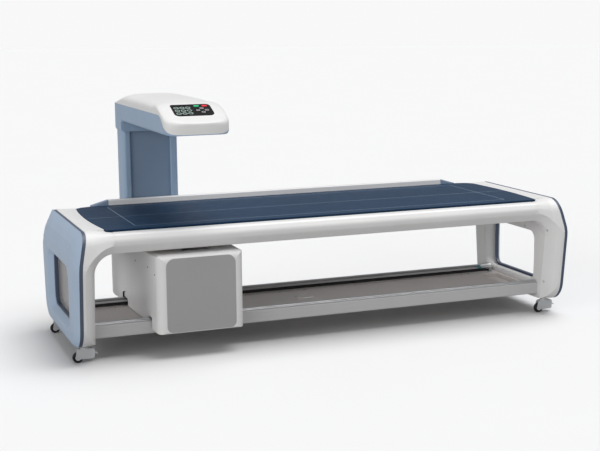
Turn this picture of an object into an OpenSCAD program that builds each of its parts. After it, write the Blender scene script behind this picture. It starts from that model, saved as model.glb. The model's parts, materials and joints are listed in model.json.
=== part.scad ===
// Whole-body bone densitometer: a padded scanning table on castors, and a C-shaped
// gantry whose source box runs under the table and whose arm reaches over it.
// Millimetres. +X runs along the table to the foot end, +Y to the back, +Z up.

/* [Table] */
// Half of the length between the inner faces of the two end frames
leg_inner_x = 1190; // [1100:5:1300]
// Height of the mattress's top
table_top = 625; // [600:5:680]
// Half width of the mattress
mattress_half_w = 361; // [320:1:400]
// Thickness of the mattress
mattress_t = 25; // [15:1:40]
// Gap between each bowed end of the mattress and the plane of the leg's inner face
mattress_end_gap = 39; // [30:1:70]
// Radius of the mattress's bowed ends
mattress_end_r = 2800; // [2000:100:4000]
// Gap round the mattress
mattress_gap = 3; // [1:0.5:4]
// Thickness of the board that carries the mattress
board_t = 15; // [10:1:20]
// How far each side rail bulges out beyond the mattress
rail_bulge = 60; // [45:1:75]
// Height of a side rail from its underside to the mattress's top
rail_h = 109; // [90:1:125]
// Height of the rear guard rail above the mattress
guard_h = 25; // [15:1:40]
// Distance of each guard rail end from the joint of side rail and end frame
guard_setback = 143; // [110:1:200]
// Length of each sloping wing of the guard rail
wing_l = 88; // [60:1:120]

/* [End frames] */
// Length of the shoulder that carries each side rail's end
shoulder_l = 90; // [80:1:160]
// How far an end frame stands out beyond the mattress at its widest
end_bulge = 86; // [78:1:95]
// How far the foot of an end frame is narrower, on each side
foot_taper = 43; // [20:1:60]
// Depth of the widest place below the mattress's top
wide_drop = 165; // [120:5:200]
// Gap between the castors' races and the underside of the end frames
leg_gap = 6; // [3:1:20]
// Depth of the moulded frame at its foot, from its inner face to the end plate
frame_t = 68; // [64:1:75]
// Thickness of the end plate
plate_t = 17; // [10:1:20]
// Depth of the pillow-shaped end cap
cap_t = 22; // [16:1:26]
// How far each end leans in at the top of the table
lean = 13; // [8:1:20]
// Angle of the leaning upper part of each end, from upright
lean_angle = 16; // [12:1:20]
// Radius of the bow of the leaning part, seen from above
bow_r = 3600; // [3000:100:6000]
// Radius of the arch between leg and rail
arch_r = 95; // [70:5:105]
// Half width of the window through each end
window_half_w = 250; // [200:5:260]
// Height of the window's sill above the beams
window_rise = 6; // [3:1:30]
// Depth of the window's head below the side rails
window_drop = 86; // [70:1:120]
// Corner radius of the window
window_r = 42; // [30:1:60]

/* [Base] */
// How far the front beam stands back from the edge of the mattress
beam_setback = 56; // [50:1:70]
// Width of the front beam
beam_w = 40; // [30:1:50]
// Underside of the beams
beam_z0 = 106; // [95:1:112]
// Top of the beams
beam_z1 = 166; // [160:1:172]
// Front face of the rear beam, from the table's centre line
rear_beam_y = 165; // [140:1:170]
// Width of the rear beam
rear_beam_w = 50; // [48:1:60]
// Wall of the beams
beam_wall = 4; // [2:0.5:6]
// How far the deck lies below the tops of the beams
deck_drop = 20; // [17:1:25]
// Thickness of the deck sheet
deck_t = 2; // [1.5:0.5:3]
// Width of each guide rail
guide_w = 20; // [15:1:24]
// Height of each guide rail
guide_h = 12; // [12:1:16]

/* [Drive] */
// Pitch radius of the belt pulleys
pulley_r = 12; // [9:0.5:15]
// Width of the timing belt
belt_w = 10; // [8:1:12]
// Thickness of the timing belt
belt_t = 2; // [1.5:0.5:3]
// Distance of each pulley's axis from the leg's inner face
pulley_inset = 42; // [38:1:110]
// Side of the square drive motor
motor_side = 57; // [42:1:60]
// Length of the drive motor
motor_l = 50; // [40:1:56]

/* [Castors] */
// Distance of each swivel axis outside the leg's inner face
castor_out = 46; // [40:1:50]
// Distance of each swivel axis in from the foot of the end frame's side
castor_in = 111; // [90:1:140]
// Diameter of the castor wheels
wheel_d = 50; // [40:1:54]
// Width of the castor wheels
wheel_w = 17; // [14:1:21]
// Trail of the wheel behind the swivel axis
trail = 32; // [28:1:34]
// Diameter of the castor's stem
stem_d = 12; // [8:1:15]

/* [Gantry] */
// Place of the gantry's middle along the table
gantry_x = -704; // [-900:1:900]
// Half width of the source box at its front
box_half_w = 208; // [195:1:225]
// How much wider the source box is at its middle, on each side
box_barrel = 22; // [0:1:30]
// How far the source box stands out in front of the side rail
box_front_out = 5; // [0:1:20]
// Underside of the source box
box_z0 = 124; // [110:1:130]
// Gap between the source box and the side rails above it
box_gap = 21; // [10:1:40]
// Wall of the plastic housings
wall = 4; // [3:0.5:5]
// Gap between the end frames' widest line and the column's front
column_gap = 9; // [6:1:20]
// Half width of the column
column_half_w = 146; // [125:1:150]
// Depth of the column
column_d = 150; // [125:1:180]
// Recess of the column's front panel
column_recess = 15; // [8:1:25]
// How far the source box's back reaches behind the column
back_out = 19; // [10:1:40]
// Depth of the joint between column base and column below the mattress's top
column_drop = 65; // [40:5:90]

/* [Arm] */
// Height of the arm's underside above the mattress
arm_clear = 423; // [380:1:480]
// Depth of the arm from its underside to its seam
arm_seam_h = 92; // [80:1:110]
// Height of the arm's crown above its seam
arm_crown_h = 58; // [50:1:70]
// How far the arm stands out beyond the column, on each side
arm_out = 10; // [6:1:20]
// How far the arm's head reaches out in front of the end frames
arm_reach = 13; // [0:1:30]
// How far the arm's collar reaches down the column
collar_h = 58; // [40:1:80]

/* [Control panel] */
// Width of the control panel
panel_w = 190; // [160:1:200]
// Depth of the control panel along its slope
panel_d = 116; // [100:1:122]
// Travel of the keys
key_travel = 1; // [0.5:0.1:1.5]

/* [Hidden] */
running = 0.05;        // radial clearance of pins that turn in a bore
slip = 0.3;            // clearance between faces that slide or nearly touch
arc_step = 6;          // degrees for each step of a rounded corner
tiny = 0.01;
far = 3000;            // longer than any cut has to be
round_fn = 64;

// Table
rail_end_x = leg_inner_x - shoulder_l;
mattress_half_l = leg_inner_x - mattress_end_gap;
guard_half_l = rail_end_x - guard_setback;
rail_half_w = mattress_half_w + rail_bulge;
rail_bottom = table_top - rail_h;
skirt_w = 37;          // slanting skirt under each side rail
skirt_h = 40;
skirt_y = rail_half_w - 1 - skirt_w;
board_top = table_top - mattress_t;
board_bottom = board_top - board_t;

// Castors
fork_top = wheel_d + 16;
race_top = fork_top + 6;

// End frames
leg_bottom = race_top + leg_gap;
end_half_w = mattress_half_w + end_bulge;
foot_half_w = end_half_w - foot_taper;
end_wide_z = table_top - wide_drop;
leg_face_half_w = mattress_half_w + 6;
window_z0 = beam_z1 + window_rise;
window_z1 = rail_bottom - window_drop;
seat_outer_x = leg_inner_x + frame_t + plate_t;
screw_seat_x = leg_inner_x + 16;
flare_screws = [[leg_face_half_w + 18, end_wide_z], [leg_face_half_w - 16, window_z0 + 7]];
face_screws = [[window_half_w - 85, window_z1 + 19], [window_half_w - 151, window_z0 - 52]];

// Base and drive
beam_front_y = -(mattress_half_w - beam_setback);
deck_z = beam_z1 - deck_drop;
guide_top = beam_z1 + guide_h;
front_guide_y = beam_front_y + beam_w / 2;
rear_guide_y = rear_beam_y + 18;
pulley_x = leg_inner_x - pulley_inset;
pulley_y = rear_beam_y - pulley_r - 14;
belt_z0 = deck_z + 5;
castor_x = leg_inner_x + castor_out;
castor_y = foot_half_w - castor_in;

// Gantry
box_mid_half_w = box_half_w + box_barrel;
box_front_y = -(rail_half_w + box_front_out);
box_z1 = rail_bottom - box_gap;
column_y = end_half_w + column_gap;
column_back_y = column_y + column_d;
column_z0 = table_top - column_drop;
gantry_rear_y = column_back_y + back_out;
carriage_z0 = guide_top + 7;
carriage_t = 12;
carriage_top = carriage_z0 + carriage_t;
carriage_half_w = 150;
carriage_front_y = box_front_y + 26;
panel_sheet = 3;       // thickness of the column's front panel
edge_w = 40;           // width of a column edge profile
edge_web = 28;         // what is left of its width behind the panels
core_half_w = column_half_w - edge_web - slip;
core_y = column_y + column_recess + panel_sheet + slip;
core_d = column_back_y - 7 - slip - core_y;
core_wall = 4;

// Arm
arm_z0 = table_top + arm_clear;
arm_seam_z = arm_z0 + arm_seam_h;
arm_top_z = arm_seam_z + arm_crown_h;
arm_half_w = column_half_w + arm_out;
arm_front_y = -(end_half_w + arm_reach);
rail_z0 = arm_z0 + 64;
rail_z1 = rail_z0 + 25;

// The object's origin is on the floor, under the middle of everything.
table_y = -(arm_front_y + gantry_rear_y) / 2;

// Slope of the control panel on the arm's head
slope_top = [arm_front_y + 188, arm_top_z - 18];
slope_low = [arm_front_y + 52, arm_top_z - 76];
slope_angle = atan((slope_top[1] - slope_low[1]) / (slope_top[0] - slope_low[0]));
panel_mid = (slope_top + slope_low) / 2;
panel_t = 2;
panel_corner_r = 22;

wheel_z = wheel_d / 2;
axle_d = 8;
cheek_t = 3.5;
fork_half_w = wheel_w / 2 + 1 + cheek_t;
stem_h = 41;           // height of the stem above the race
pedal_x = 22;
pedal_z = 45;

// ---------- outlines ----------

// Points of the arc that rounds corner p between a and b with radius r.
function corner(a, p, b, r) =
  r <= 0 ? [p] :
  let (
    u = (a - p) / norm(a - p),
    v = (b - p) / norm(b - p),
    half = acos(max(-1, min(1, u * v))) / 2,
    reach = r / tan(half),
    mid = (u + v) / norm(u + v),
    centre = p + mid * r / sin(half),
    from = p + u * reach - centre,
    to = p + v * reach - centre,
    a0 = atan2(from[1], from[0]),
    turn_raw = atan2(to[1], to[0]) - a0,
    turn = turn_raw > 180 ? turn_raw - 360 : turn_raw < -180 ? turn_raw + 360 : turn_raw,
    steps = max(1, ceil(abs(turn) / arc_step))
  )
  [for (i = [0:steps]) centre + r * [cos(a0 + turn * i / steps), sin(a0 + turn * i / steps)]];

// A closed outline from corners [x, y, radius].
function rounded(c) =
  let (n = len(c), xy = [for (q = c) [q[0], q[1]]])
  [for (i = [0:n - 1]) each corner(xy[(i + n - 1) % n], xy[i], xy[(i + 1) % n], c[i][2])];

// The same corners mirrored in the first axis, so half an outline gives all of it.
function both_sides(half) =
  concat(half, [for (i = [len(half) - 1:-1:0]) [-half[i][0], half[i][1], half[i][2]]]);

module outline(corners) {
  polygon(rounded(corners));
}

// Extrusions that put a flat outline into the machine's planes.
// along_x: outline is (Y, Z); along_y: outline is (X, Z).
module along_x(x0, x1) {
  translate([x0, 0, 0]) rotate([90, 0, 90]) linear_extrude(height = x1 - x0) children();
}

module along_y(y0, y1) {
  translate([0, y1, 0]) rotate([90, 0, 0]) linear_extrude(height = y1 - y0) children();
}

module up_z(z0, z1) {
  translate([0, 0, z0]) linear_extrude(height = z1 - z0) children();
}

module box(low, high) {
  translate(low) cube(high - low);
}

module at_table() {
  translate([0, table_y, 0]) children();
}

module at_gantry() {
  translate([gantry_x, table_y, 0]) children();
}

// The head end is the foot end mirrored.
module at_end(side) {
  at_table() mirror([side < 0 ? 1 : 0, 0, 0]) children();
}

// The same with a stated number of steps in each corner [x, y, radius, steps], for rings of a loft.
function ring_of(c) =
  let (n = len(c), xy = [for (q = c) [q[0], q[1]]])
  [for (i = [0:n - 1]) each arc(xy[(i + n - 1) % n], xy[i], xy[(i + 1) % n], c[i][2], c[i][3])];

function arc(a, p, b, r, steps) =
  let (
    u = (a - p) / norm(a - p),
    v = (b - p) / norm(b - p),
    half = acos(max(-1, min(1, u * v))) / 2,
    mid = (u + v) / norm(u + v),
    centre = p + mid * r / sin(half),
    from = p + u * r / tan(half) - centre,
    to = p + v * r / tan(half) - centre,
    a0 = atan2(from[1], from[0]),
    raw = atan2(to[1], to[0]) - a0,
    turn = raw > 180 ? raw - 360 : raw < -180 ? raw + 360 : raw
  )
  [for (i = [0:steps]) centre + r * [cos(a0 + turn * i / steps), sin(a0 + turn * i / steps)]];

function both_ways(half) =
  concat(half, [for (i = [len(half) - 1:-1:0]) [-half[i][0], half[i][1], half[i][2], half[i][3]]]);

// A closed skin over rings that have equally many points. Open rings are filled at both ends,
// or the last ring runs on into the first.
module skin(rings, closed = false, turned = false) {
  n = len(rings[0]);
  m = len(rings);
  last = closed ? m - 1 : m - 2;
  faces = concat(
    [for (k = [0:last], i = [0:n - 1]) [k * n + i, k * n + (i + 1) % n, (k + 1) % m * n + (i + 1) % n]],
    [for (k = [0:last], i = [0:n - 1]) [k * n + i, (k + 1) % m * n + (i + 1) % n, (k + 1) % m * n + i]],
    closed ? [] : [[for (i = [n - 1:-1:0]) i], [for (i = [0:n - 1]) (m - 1) * n + i]]
  );
  polyhedron(
    points = [for (r = rings) each r],
    faces = turned ? [for (f = faces) [for (i = [len(f) - 1:-1:0]) f[i]]] : faces,
    convexity = 6
  );
}

// ---------- table ends ----------

corner_steps = 8;
side_steps = 2;

// Outlines (Y, Z) of an end, with the same steps so that lofts can run between them.
function end_ring(inset = 0, top_inset = 0) = ring_of(both_ways([
  [-(foot_half_w - inset), leg_bottom + inset / 2, 110, corner_steps],
  [-(end_half_w - inset), end_wide_z, 150, side_steps],
  [-(end_half_w - 35 - inset), table_top - 1 - top_inset, 85, corner_steps]
]));

function window_ring(grow, sill = 0) =
  let (mid = (window_z0 + window_z1) / 2)
  ring_of(both_ways([
    [-(window_half_w + grow), window_z0 - grow - sill, window_r + max(grow, 0), corner_steps],
    [-(window_half_w + grow + 3), mid, 900, side_steps],
    [-(window_half_w + grow), window_z1 + max(grow, 0), window_r + max(grow, 0), corner_steps]
  ]));

function soft_min(a, b, k) = min(a, b) - pow(max(k - abs(a - b), 0), 2) / (4 * k);

// X of the end cap's seat: upright below, leaning in and bowed above.
function seat_x(p) = soft_min(
  seat_outer_x,
  seat_outer_x - lean + (table_top - 1 - p[1]) * tan(lean_angle) - p[0] * p[0] / (2 * bow_r),
  14
);

// Rings between the window and the rim: 0 is the window, 1 the lip of its flare, 2 the rim.
window_edge = window_ring(-21, 17);
lip_edge = window_ring(22, 8);
rim_edge = end_ring();
dish = 10;             // how much deeper the seat lies at the window

function end_point(i, s) =
  s < 1 ? window_edge[i] * (1 - s) + lip_edge[i] * s : lip_edge[i] * (2 - s) + rim_edge[i] * (s - 1);

function seat_ring(s, h) = [
  for (i = [0:len(rim_edge) - 1])
    let (p = end_point(i, s)) [seat_x(p) - dish * pow(max(1 - s, 0), 2) + h, p[0], p[1]]
];

// Where the rings lie. Neighbours share theirs, so that their faces meet exactly.
plate_span = [0.06, 0.18, 0.488, 1, 1.5, 1.988];
frame_span = [2, 1.988, 1.5, 1, 0.488];
cap_span = [0.18, 0.488, 1, 1.5, 1.988, 2];
// Height of the cap above its seat at each place, as parts of its depth
cap_profile = [
  [1.97, 0.15], [1.9, 0.47], [1.8, 0.8], [1.62, 1], [1.3, 1], [1.05, 1],
  [0.9, 0.88], [0.7, 0.62], [0.45, 0.34], [0.26, 0.16], [0.18, 0.1]
];

// The cap grows thinner towards the top of the table.
function cap_part(z) =
  let (t = max(0, min(1, (z - end_wide_z) / (table_top - end_wide_z))))
  1 - 0.55 * t * t * (3 - 2 * t);

function cap_ring(s, part) =
  let (seat = seat_ring(s, 0))
  [for (q = seat) [q[0] + cap_t * part * cap_part(q[2]), q[1], q[2]]];

function flat_ring(x, ring) = [for (p = ring) [x, p[0], p[1]]];

// Section of a side rail: a lip beside the mattress, a bulge, and a slanting skirt.
module rail_section() {
  outline([
    [-(mattress_half_w - 30), board_bottom, 0],
    [-(mattress_half_w + mattress_gap), board_bottom, 0],
    [-(mattress_half_w + mattress_gap), table_top - 11, 3],
    [-(rail_half_w - 16), table_top - 14, 22],
    [-rail_half_w - 3, table_top - 44, 26],
    [-(skirt_y + skirt_w), rail_bottom + skirt_h, 26],
    [-skirt_y, rail_bottom, 8],
    [-(mattress_half_w - 30), rail_bottom, 3]
  ]);
}

// Hollow of the extruded rail.
module rail_hollow() {
  w = 4;
  outline([
    [-(mattress_half_w - 30 + w), board_bottom - w, 2],
    [-(mattress_half_w + mattress_gap + w), board_bottom - w, 2],
    [-(mattress_half_w + mattress_gap + w), table_top - 16, 2],
    [-(rail_half_w - 18), table_top - 20, 16],
    [-rail_half_w + 2, table_top - 45, 20],
    [-(skirt_y + skirt_w - w), rail_bottom + skirt_h + 1.5, 22],
    [-(skirt_y - 2), rail_bottom + w, 6],
    [-(mattress_half_w - 30 + w), rail_bottom + w, 2]
  ]);
}

// The convex outer part of the rail's section, where an end frame's shoulder starts.
module shoulder_start() {
  outline([
    [-(mattress_half_w - 30), table_top - 12, 0],
    [-(rail_half_w - 16), table_top - 14, 22],
    [-rail_half_w - 3, table_top - 44, 26],
    [-(skirt_y + skirt_w), rail_bottom + skirt_h, 26],
    [-skirt_y, rail_bottom - 5, 8],
    [-(mattress_half_w - 30), rail_bottom - 5, 0]
  ]);
}

// Plan of the mattress: bowed ends and cut rear corners beside the wings.
module mattress_outline(grow = 0) {
  bow_x = mattress_half_l - mattress_end_r;
  intersection() {
    outline(both_sides([
      [-(mattress_half_l + grow), -(mattress_half_w + grow), 12],
      [-(mattress_half_l + grow), mattress_half_w - 71, 20],
      [-(mattress_half_l - 41 + grow), mattress_half_w - 17 + grow / 2, 15],
      [-(guard_half_l + wing_l + 10), mattress_half_w + grow, 15]
    ]));
    translate([bow_x, 0]) circle(r = mattress_end_r + grow, $fn = 360);
    translate([-bow_x, 0]) circle(r = mattress_end_r + grow, $fn = 360);
  }
}

module mattress() {
  color([0.14, 0.24, 0.36]) at_table() up_z(board_top, table_top) mattress_outline();
}

module table_board() {
  color([0.80, 0.79, 0.77]) at_table()
    box([-rail_end_x, -(mattress_half_w + mattress_gap), board_bottom],
        [rail_end_x, mattress_half_w + mattress_gap, board_top]);
}

// The end's outline beside the rails only, where a shoulder runs into the end.
module shoulder_root(inset) {
  intersection() {
    polygon(end_ring(inset, 0.6));
    translate([-far, rail_bottom - 135]) square([far - mattress_half_w + 30, far]);
  }
}

// A shoulder carries on the side rail, behind a shallow joint, and widens into the end.
module shoulder() {
  hull() {
    along_x(rail_end_x, rail_end_x + 1) offset(delta = -0.9) shoulder_start();
    along_x(rail_end_x + 3, rail_end_x + 4) shoulder_start();
    along_x(leg_inner_x, leg_inner_x + 1) shoulder_root(7.2);
    along_x(leg_inner_x + 22, leg_inner_x + 23) shoulder_root(9);
  }
}

// How far the flare under a shoulder stands out, and how far it rises, at a distance y
// from the middle. The rise carries on the slanting skirt of the side rail.
function flare_part(y) = max(0, (y - leg_face_half_w) / (end_half_w - leg_face_half_w));

function flare_out(y) =
  (frame_t - 10) * (0.62 * flare_part(y) + 0.38 * pow(min(flare_part(y), 1), 6)) - slip;

function flare_rise(y) = max(0, min(
  (y - skirt_y) * skirt_h / skirt_w,
  skirt_h + (y - skirt_y - skirt_w) * 0.6
));

// How much narrower an end is at height z than at its widest.
function taper(z) = foot_taper * max(0, end_wide_z - z) / (end_wide_z - leg_bottom);

function flare_ring(y, side) =
  let (
    x = leg_inner_x + flare_out(y),
    z = rail_bottom + flare_rise(y),
    r = arch_r + 40 * flare_part(y),
    line = concat(
      [[rail_end_x - 20, leg_bottom - 40]],
      [for (q = [leg_bottom - 40, 200, 300, z - r - 20]) [x, q]],
      [for (a = [0:9:90]) [x - r + r * cos(a), z - r + r * sin(a)]],
      [[rail_end_x - 20, z]]
    )
  )
  [for (p = line) [p[0], side * (y - taper(p[1])), p[1]]];

// The opening under the table: the flare seen from both sides, rounded into the legs.
module flare_cut() {
  reach = [for (t = [0:0.125:1.25]) leg_face_half_w + t * (end_half_w - leg_face_half_w)];
  widest = reach[len(reach) - 1];
  skin(concat(
    [[for (q = flare_ring(widest, -1)) [q[0], -2 * end_half_w, q[2]]]],
    [for (i = [len(reach) - 1:-1:0]) flare_ring(reach[i], -1)],
    [for (y = reach) flare_ring(y, 1)],
    [[for (q = flare_ring(widest, 1)) [q[0], 2 * end_half_w, q[2]]]]
  ));
}

module end_block() {
  skin(concat(
    [flat_ring(leg_inner_x, window_ring(14)), flat_ring(leg_inner_x, end_ring(7, 0.5))],
    [for (s = frame_span) seat_ring(s, -plate_t)],
    [flat_ring(leg_inner_x + 14, window_ring(0)), flat_ring(leg_inner_x + 4, window_ring(4))]
  ), closed = true);
}

module end_frame(side) {
  color([0.91, 0.90, 0.89]) at_end(side) difference() {
    union() {
      difference() {
        union() {
          end_block();
          shoulder();
          mirror([0, 1, 0]) shoulder();
        }
        flare_cut();
      }
      box([rail_end_x, -(mattress_half_w - 26), board_bottom],
          [leg_inner_x + 20, mattress_half_w - 26, table_top - 1.8]);
      for (y = [-castor_y, castor_y])
        translate([castor_x, y, race_top + slip]) cylinder(h = 40, d = 26, $fn = round_fn);
    }
    up_z(board_top, far) mattress_outline(mattress_gap);
    for (y = [-castor_y, castor_y])
      translate([castor_x, y, race_top - 14])
        cylinder(h = stem_h + 15, d = stem_d + 2 * running, $fn = round_fn);
    for (m = [-1, 1], p = flare_screws)
      translate([screw_seat_x, m * p[0], p[1]]) rotate([0, -90, 0])
        cylinder(h = 40, d = 13, $fn = 32);
  }
}

module end_plate(side) {
  n = len(plate_span) - 1;
  color([0.29, 0.33, 0.39]) at_end(side) skin(concat(
    [for (s = plate_span) seat_ring(s, 0)],
    [for (i = [n:-1:0]) seat_ring(plate_span[i], -plate_t)]
  ), closed = true, turned = true);
}

module end_cap(side) {
  color([0.64, 0.71, 0.80]) at_end(side) skin(concat(
    [for (s = cap_span) seat_ring(s, 0)],
    [for (c = cap_profile) cap_ring(c[0], c[1])]
  ), closed = true);
}

module front_side_rail() {
  color([0.90, 0.89, 0.88]) at_table() along_x(-rail_end_x, rail_end_x) difference() {
    rail_section();
    rail_hollow();
  }
}

module rear_side_rail() {
  color([0.90, 0.89, 0.88]) at_table() mirror([0, 1, 0])
    along_x(-rail_end_x, rail_end_x) difference() {
      rail_section();
      rail_hollow();
    }
}

module rear_guard_rail() {
  color([0.90, 0.89, 0.88]) at_table() along_x(-guard_half_l, guard_half_l) outline([
    [mattress_half_w + mattress_gap, table_top - 11, 0],
    [mattress_half_w + mattress_gap + 4, table_top + guard_h, 6],
    [mattress_half_w + mattress_gap + 34, table_top + guard_h, 9],
    [mattress_half_w + mattress_gap + 42, table_top - 11, 0]
  ]);
}

// A wing closes each end of the guard rail and slopes down to the mattress's level.
module guard_wing() {
  hull() {
    along_x(guard_half_l, guard_half_l + 2) outline([
      [mattress_half_w + mattress_gap, table_top - 11, 0],
      [mattress_half_w + mattress_gap + 4, table_top + guard_h, 6],
      [mattress_half_w + mattress_gap + 34, table_top + guard_h, 9],
      [mattress_half_w + mattress_gap + 42, table_top - 11, 0]
    ]);
    along_x(guard_half_l + wing_l - 2, guard_half_l + wing_l) outline([
      [mattress_half_w + mattress_gap, table_top - 11, 0],
      [mattress_half_w + mattress_gap + 4, table_top, 3],
      [mattress_half_w + mattress_gap + 36, table_top, 3],
      [mattress_half_w + mattress_gap + 42, table_top - 11, 0]
    ]);
  }
}

module guard_wings() {
  color([0.45, 0.53, 0.62]) at_table() for (m = [0, 1]) mirror([m, 0, 0]) guard_wing();
}

// ---------- base ----------

module hollow_beam(y0, y1) {
  along_x(-leg_inner_x, leg_inner_x) difference() {
    outline([[y0, beam_z0, 5], [y1, beam_z0, 5], [y1, beam_z1, 5], [y0, beam_z1, 5]]);
    translate([y0 + beam_wall, beam_z0 + beam_wall])
      square([y1 - y0 - 2 * beam_wall, beam_z1 - beam_z0 - 2 * beam_wall]);
  }
}

module front_beam() {
  color([0.76, 0.76, 0.75]) at_table() hollow_beam(beam_front_y, beam_front_y + beam_w);
}

module rear_beam() {
  back = rear_beam_y + rear_beam_w;
  color([0.76, 0.76, 0.75]) at_table() difference() {
    hollow_beam(rear_beam_y, back);
    translate([inlet_x, 0, inlet_z]) along_y(back - 10, back + 1) inlet_body(slip);
  }
}

// Service pan sunk into the deck at the foot end, and the strap between two cable slots.
pan_low = [rail_end_x - 40, -155];
pan_high = [leg_inner_x - 25, 65];
strap_x = [-84, 6];
strap_y = [-56, 92];

// Folded sheet between the beams, with a turned-down flange along each.
module lower_deck() {
  y0 = beam_front_y + beam_w;
  flange = 22;
  color([0.49, 0.46, 0.44]) at_table() {
    deck_sheet(y0, flange);
    difference() {
      box([pan_low[0] - deck_t, pan_low[1] - deck_t, deck_z - flange],
          [pan_high[0] + deck_t, pan_high[1] + deck_t, deck_z - deck_t / 2]);
      box([pan_low[0], pan_low[1], deck_z - flange + deck_t], [pan_high[0], pan_high[1], deck_z + 1]);
    }
    box([strap_x[0], strap_y[0], deck_z - deck_t / 2], [strap_x[1], strap_y[0] + 80, deck_z + 2.2]);
  }
}

module deck_sheet(y0, flange) {
  difference() {
    along_x(-leg_inner_x + 2, leg_inner_x - 2) polygon([
      [y0, deck_z], [rear_beam_y, deck_z], [rear_beam_y, deck_z - flange],
      [rear_beam_y - deck_t, deck_z - flange], [rear_beam_y - deck_t, deck_z - deck_t],
      [y0 + deck_t, deck_z - deck_t], [y0 + deck_t, deck_z - flange], [y0, deck_z - flange]
    ]);
    translate([pulley_x, pulley_y, deck_z - 10]) cylinder(h = 20, d = 16, $fn = round_fn);
    box([pan_low[0], pan_low[1], deck_z - 10], [pan_high[0], pan_high[1], deck_z + 1]);
    for (y = [strap_y[0] - 14, strap_y[1]])
      box([strap_x[0], y, deck_z - 10], [strap_x[1], y + 12, deck_z + 1]);
  }
}

module guide_section(y) {
  w = guide_w / 2;
  polygon([
    [y - w, beam_z1], [y + w, beam_z1], [y + w, beam_z1 + 5], [y + w - 2.5, beam_z1 + 7.5],
    [y + w, beam_z1 + 10], [y + w, guide_top - 1.5], [y + w - 1.5, guide_top],
    [y - w + 1.5, guide_top], [y - w, guide_top - 1.5], [y - w, beam_z1 + 10],
    [y - w + 2.5, beam_z1 + 7.5], [y - w, beam_z1 + 5]
  ]);
}

module guide_rails() {
  color([0.82, 0.82, 0.82]) at_table() along_x(-leg_inner_x + 6, leg_inner_x - 6) {
    guide_section(front_guide_y);
    guide_section(rear_guide_y);
  }
}

// ---------- drive ----------

module drive_motor() {
  top = deck_z - deck_t;
  color([0.15, 0.15, 0.16]) at_table() translate([pulley_x, pulley_y, 0]) {
    difference() {
      up_z(top - motor_l, top) outline(both_sides([
        [-motor_side / 2, -motor_side / 2, 5],
        [-motor_side / 2, motor_side / 2 - 9, 5]
      ]));
      for (x = [-1, 1])
        translate([x * (motor_side / 2 - 5), 0, top - motor_l - 1])
          cylinder(h = 30, d = 5, $fn = 24);
    }
    translate([0, 0, top - 1]) cylinder(h = belt_z0 + belt_w + 4 - top, d = 6, $fn = round_fn);
  }
}

// Axle plate of the idler, and the bearing strap over the motor's pulley.
module pulley_strap() {
  h = belt_z0 + belt_w + 3;
  difference() {
    union() {
      box([-9, -pulley_r - 11, deck_z], [9, -pulley_r - 5, h + 3]);
      box([-9, -pulley_r - 11, h], [9, 8, h + 3]);
    }
    translate([0, 0, h - 1]) cylinder(h = 6, d = 6 + 2 * running, $fn = round_fn);
  }
}

module pulley_brackets() {
  color([0.62, 0.63, 0.65]) at_table() {
    translate([pulley_x, pulley_y, 0]) pulley_strap();
    translate([-pulley_x, pulley_y, 0]) {
      pulley_strap();
      translate([0, 0, deck_z]) cylinder(h = belt_z0 + belt_w + 2 - deck_z, d = 6, $fn = round_fn);
    }
  }
}

// Toothed pulley with flanges.
module pulley() {
  teeth = 24;
  root_r = pulley_r - belt_t / 2 - slip;
  difference() {
    union() {
      translate([0, 0, belt_z0]) cylinder(h = belt_w, r = root_r, $fn = round_fn);
      translate([0, 0, belt_z0 - 1.5]) cylinder(h = 1.2, r = pulley_r + 2, $fn = round_fn);
      translate([0, 0, belt_z0 + belt_w + 0.3]) cylinder(h = 1.2, r = pulley_r + 2, $fn = round_fn);
      translate([0, 0, belt_z0 - 1.5]) cylinder(h = belt_w + 3, r = root_r - 2, $fn = round_fn);
    }
    for (i = [0:teeth - 1])
      rotate([0, 0, i * 360 / teeth]) translate([root_r, 0, belt_z0 - 0.2])
        cylinder(h = belt_w + 0.4, r = 0.6, $fn = 16);
    translate([0, 0, belt_z0 - 5]) cylinder(h = 40, d = 6 + 2 * running, $fn = round_fn);
  }
}

module drive_pulley() {
  color([0.70, 0.71, 0.73]) at_table() translate([pulley_x, pulley_y, 0]) pulley();
}

module idler_pulley() {
  color([0.70, 0.71, 0.73]) at_table() translate([-pulley_x, pulley_y, 0]) pulley();
}

module belt_loop(r) {
  for (s = [-1, 1]) translate([s * pulley_x, 0]) circle(r = r, $fn = round_fn);
  translate([-pulley_x, -r]) square([2 * pulley_x, 2 * r]);
}

module timing_belt() {
  color([0.09, 0.09, 0.10]) at_table() translate([0, pulley_y, 0]) up_z(belt_z0, belt_z0 + belt_w)
    difference() {
      belt_loop(pulley_r + belt_t / 2);
      belt_loop(pulley_r - belt_t / 2);
    }
}

// Small plunger switches that end the gantry's travel.
module limit_switches() {
  y0 = rear_guide_y + guide_w / 2 + 3;
  color([0.10, 0.11, 0.12]) at_table() for (m = [0, 1]) mirror([m, 0, 0])
    translate([leg_inner_x - 40, y0, beam_z1]) {
      box([0, 0, 0], [34, 14, 10]);
      translate([0.5, 7, 5]) rotate([0, -90, 0]) cylinder(h = 6, d = 4, $fn = 24);
    }
}

inlet_x = 1040;
inlet_z = (beam_z0 + beam_z1) / 2;
inlet_depth = 15;

module inlet_body(grow = 0) {
  outline([[-26 - grow, -14 - grow, 3], [26 + grow, -14 - grow, 3],
           [26 + grow, 14 + grow, 3], [-26 - grow, 14 + grow, 3]]);
}

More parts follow.
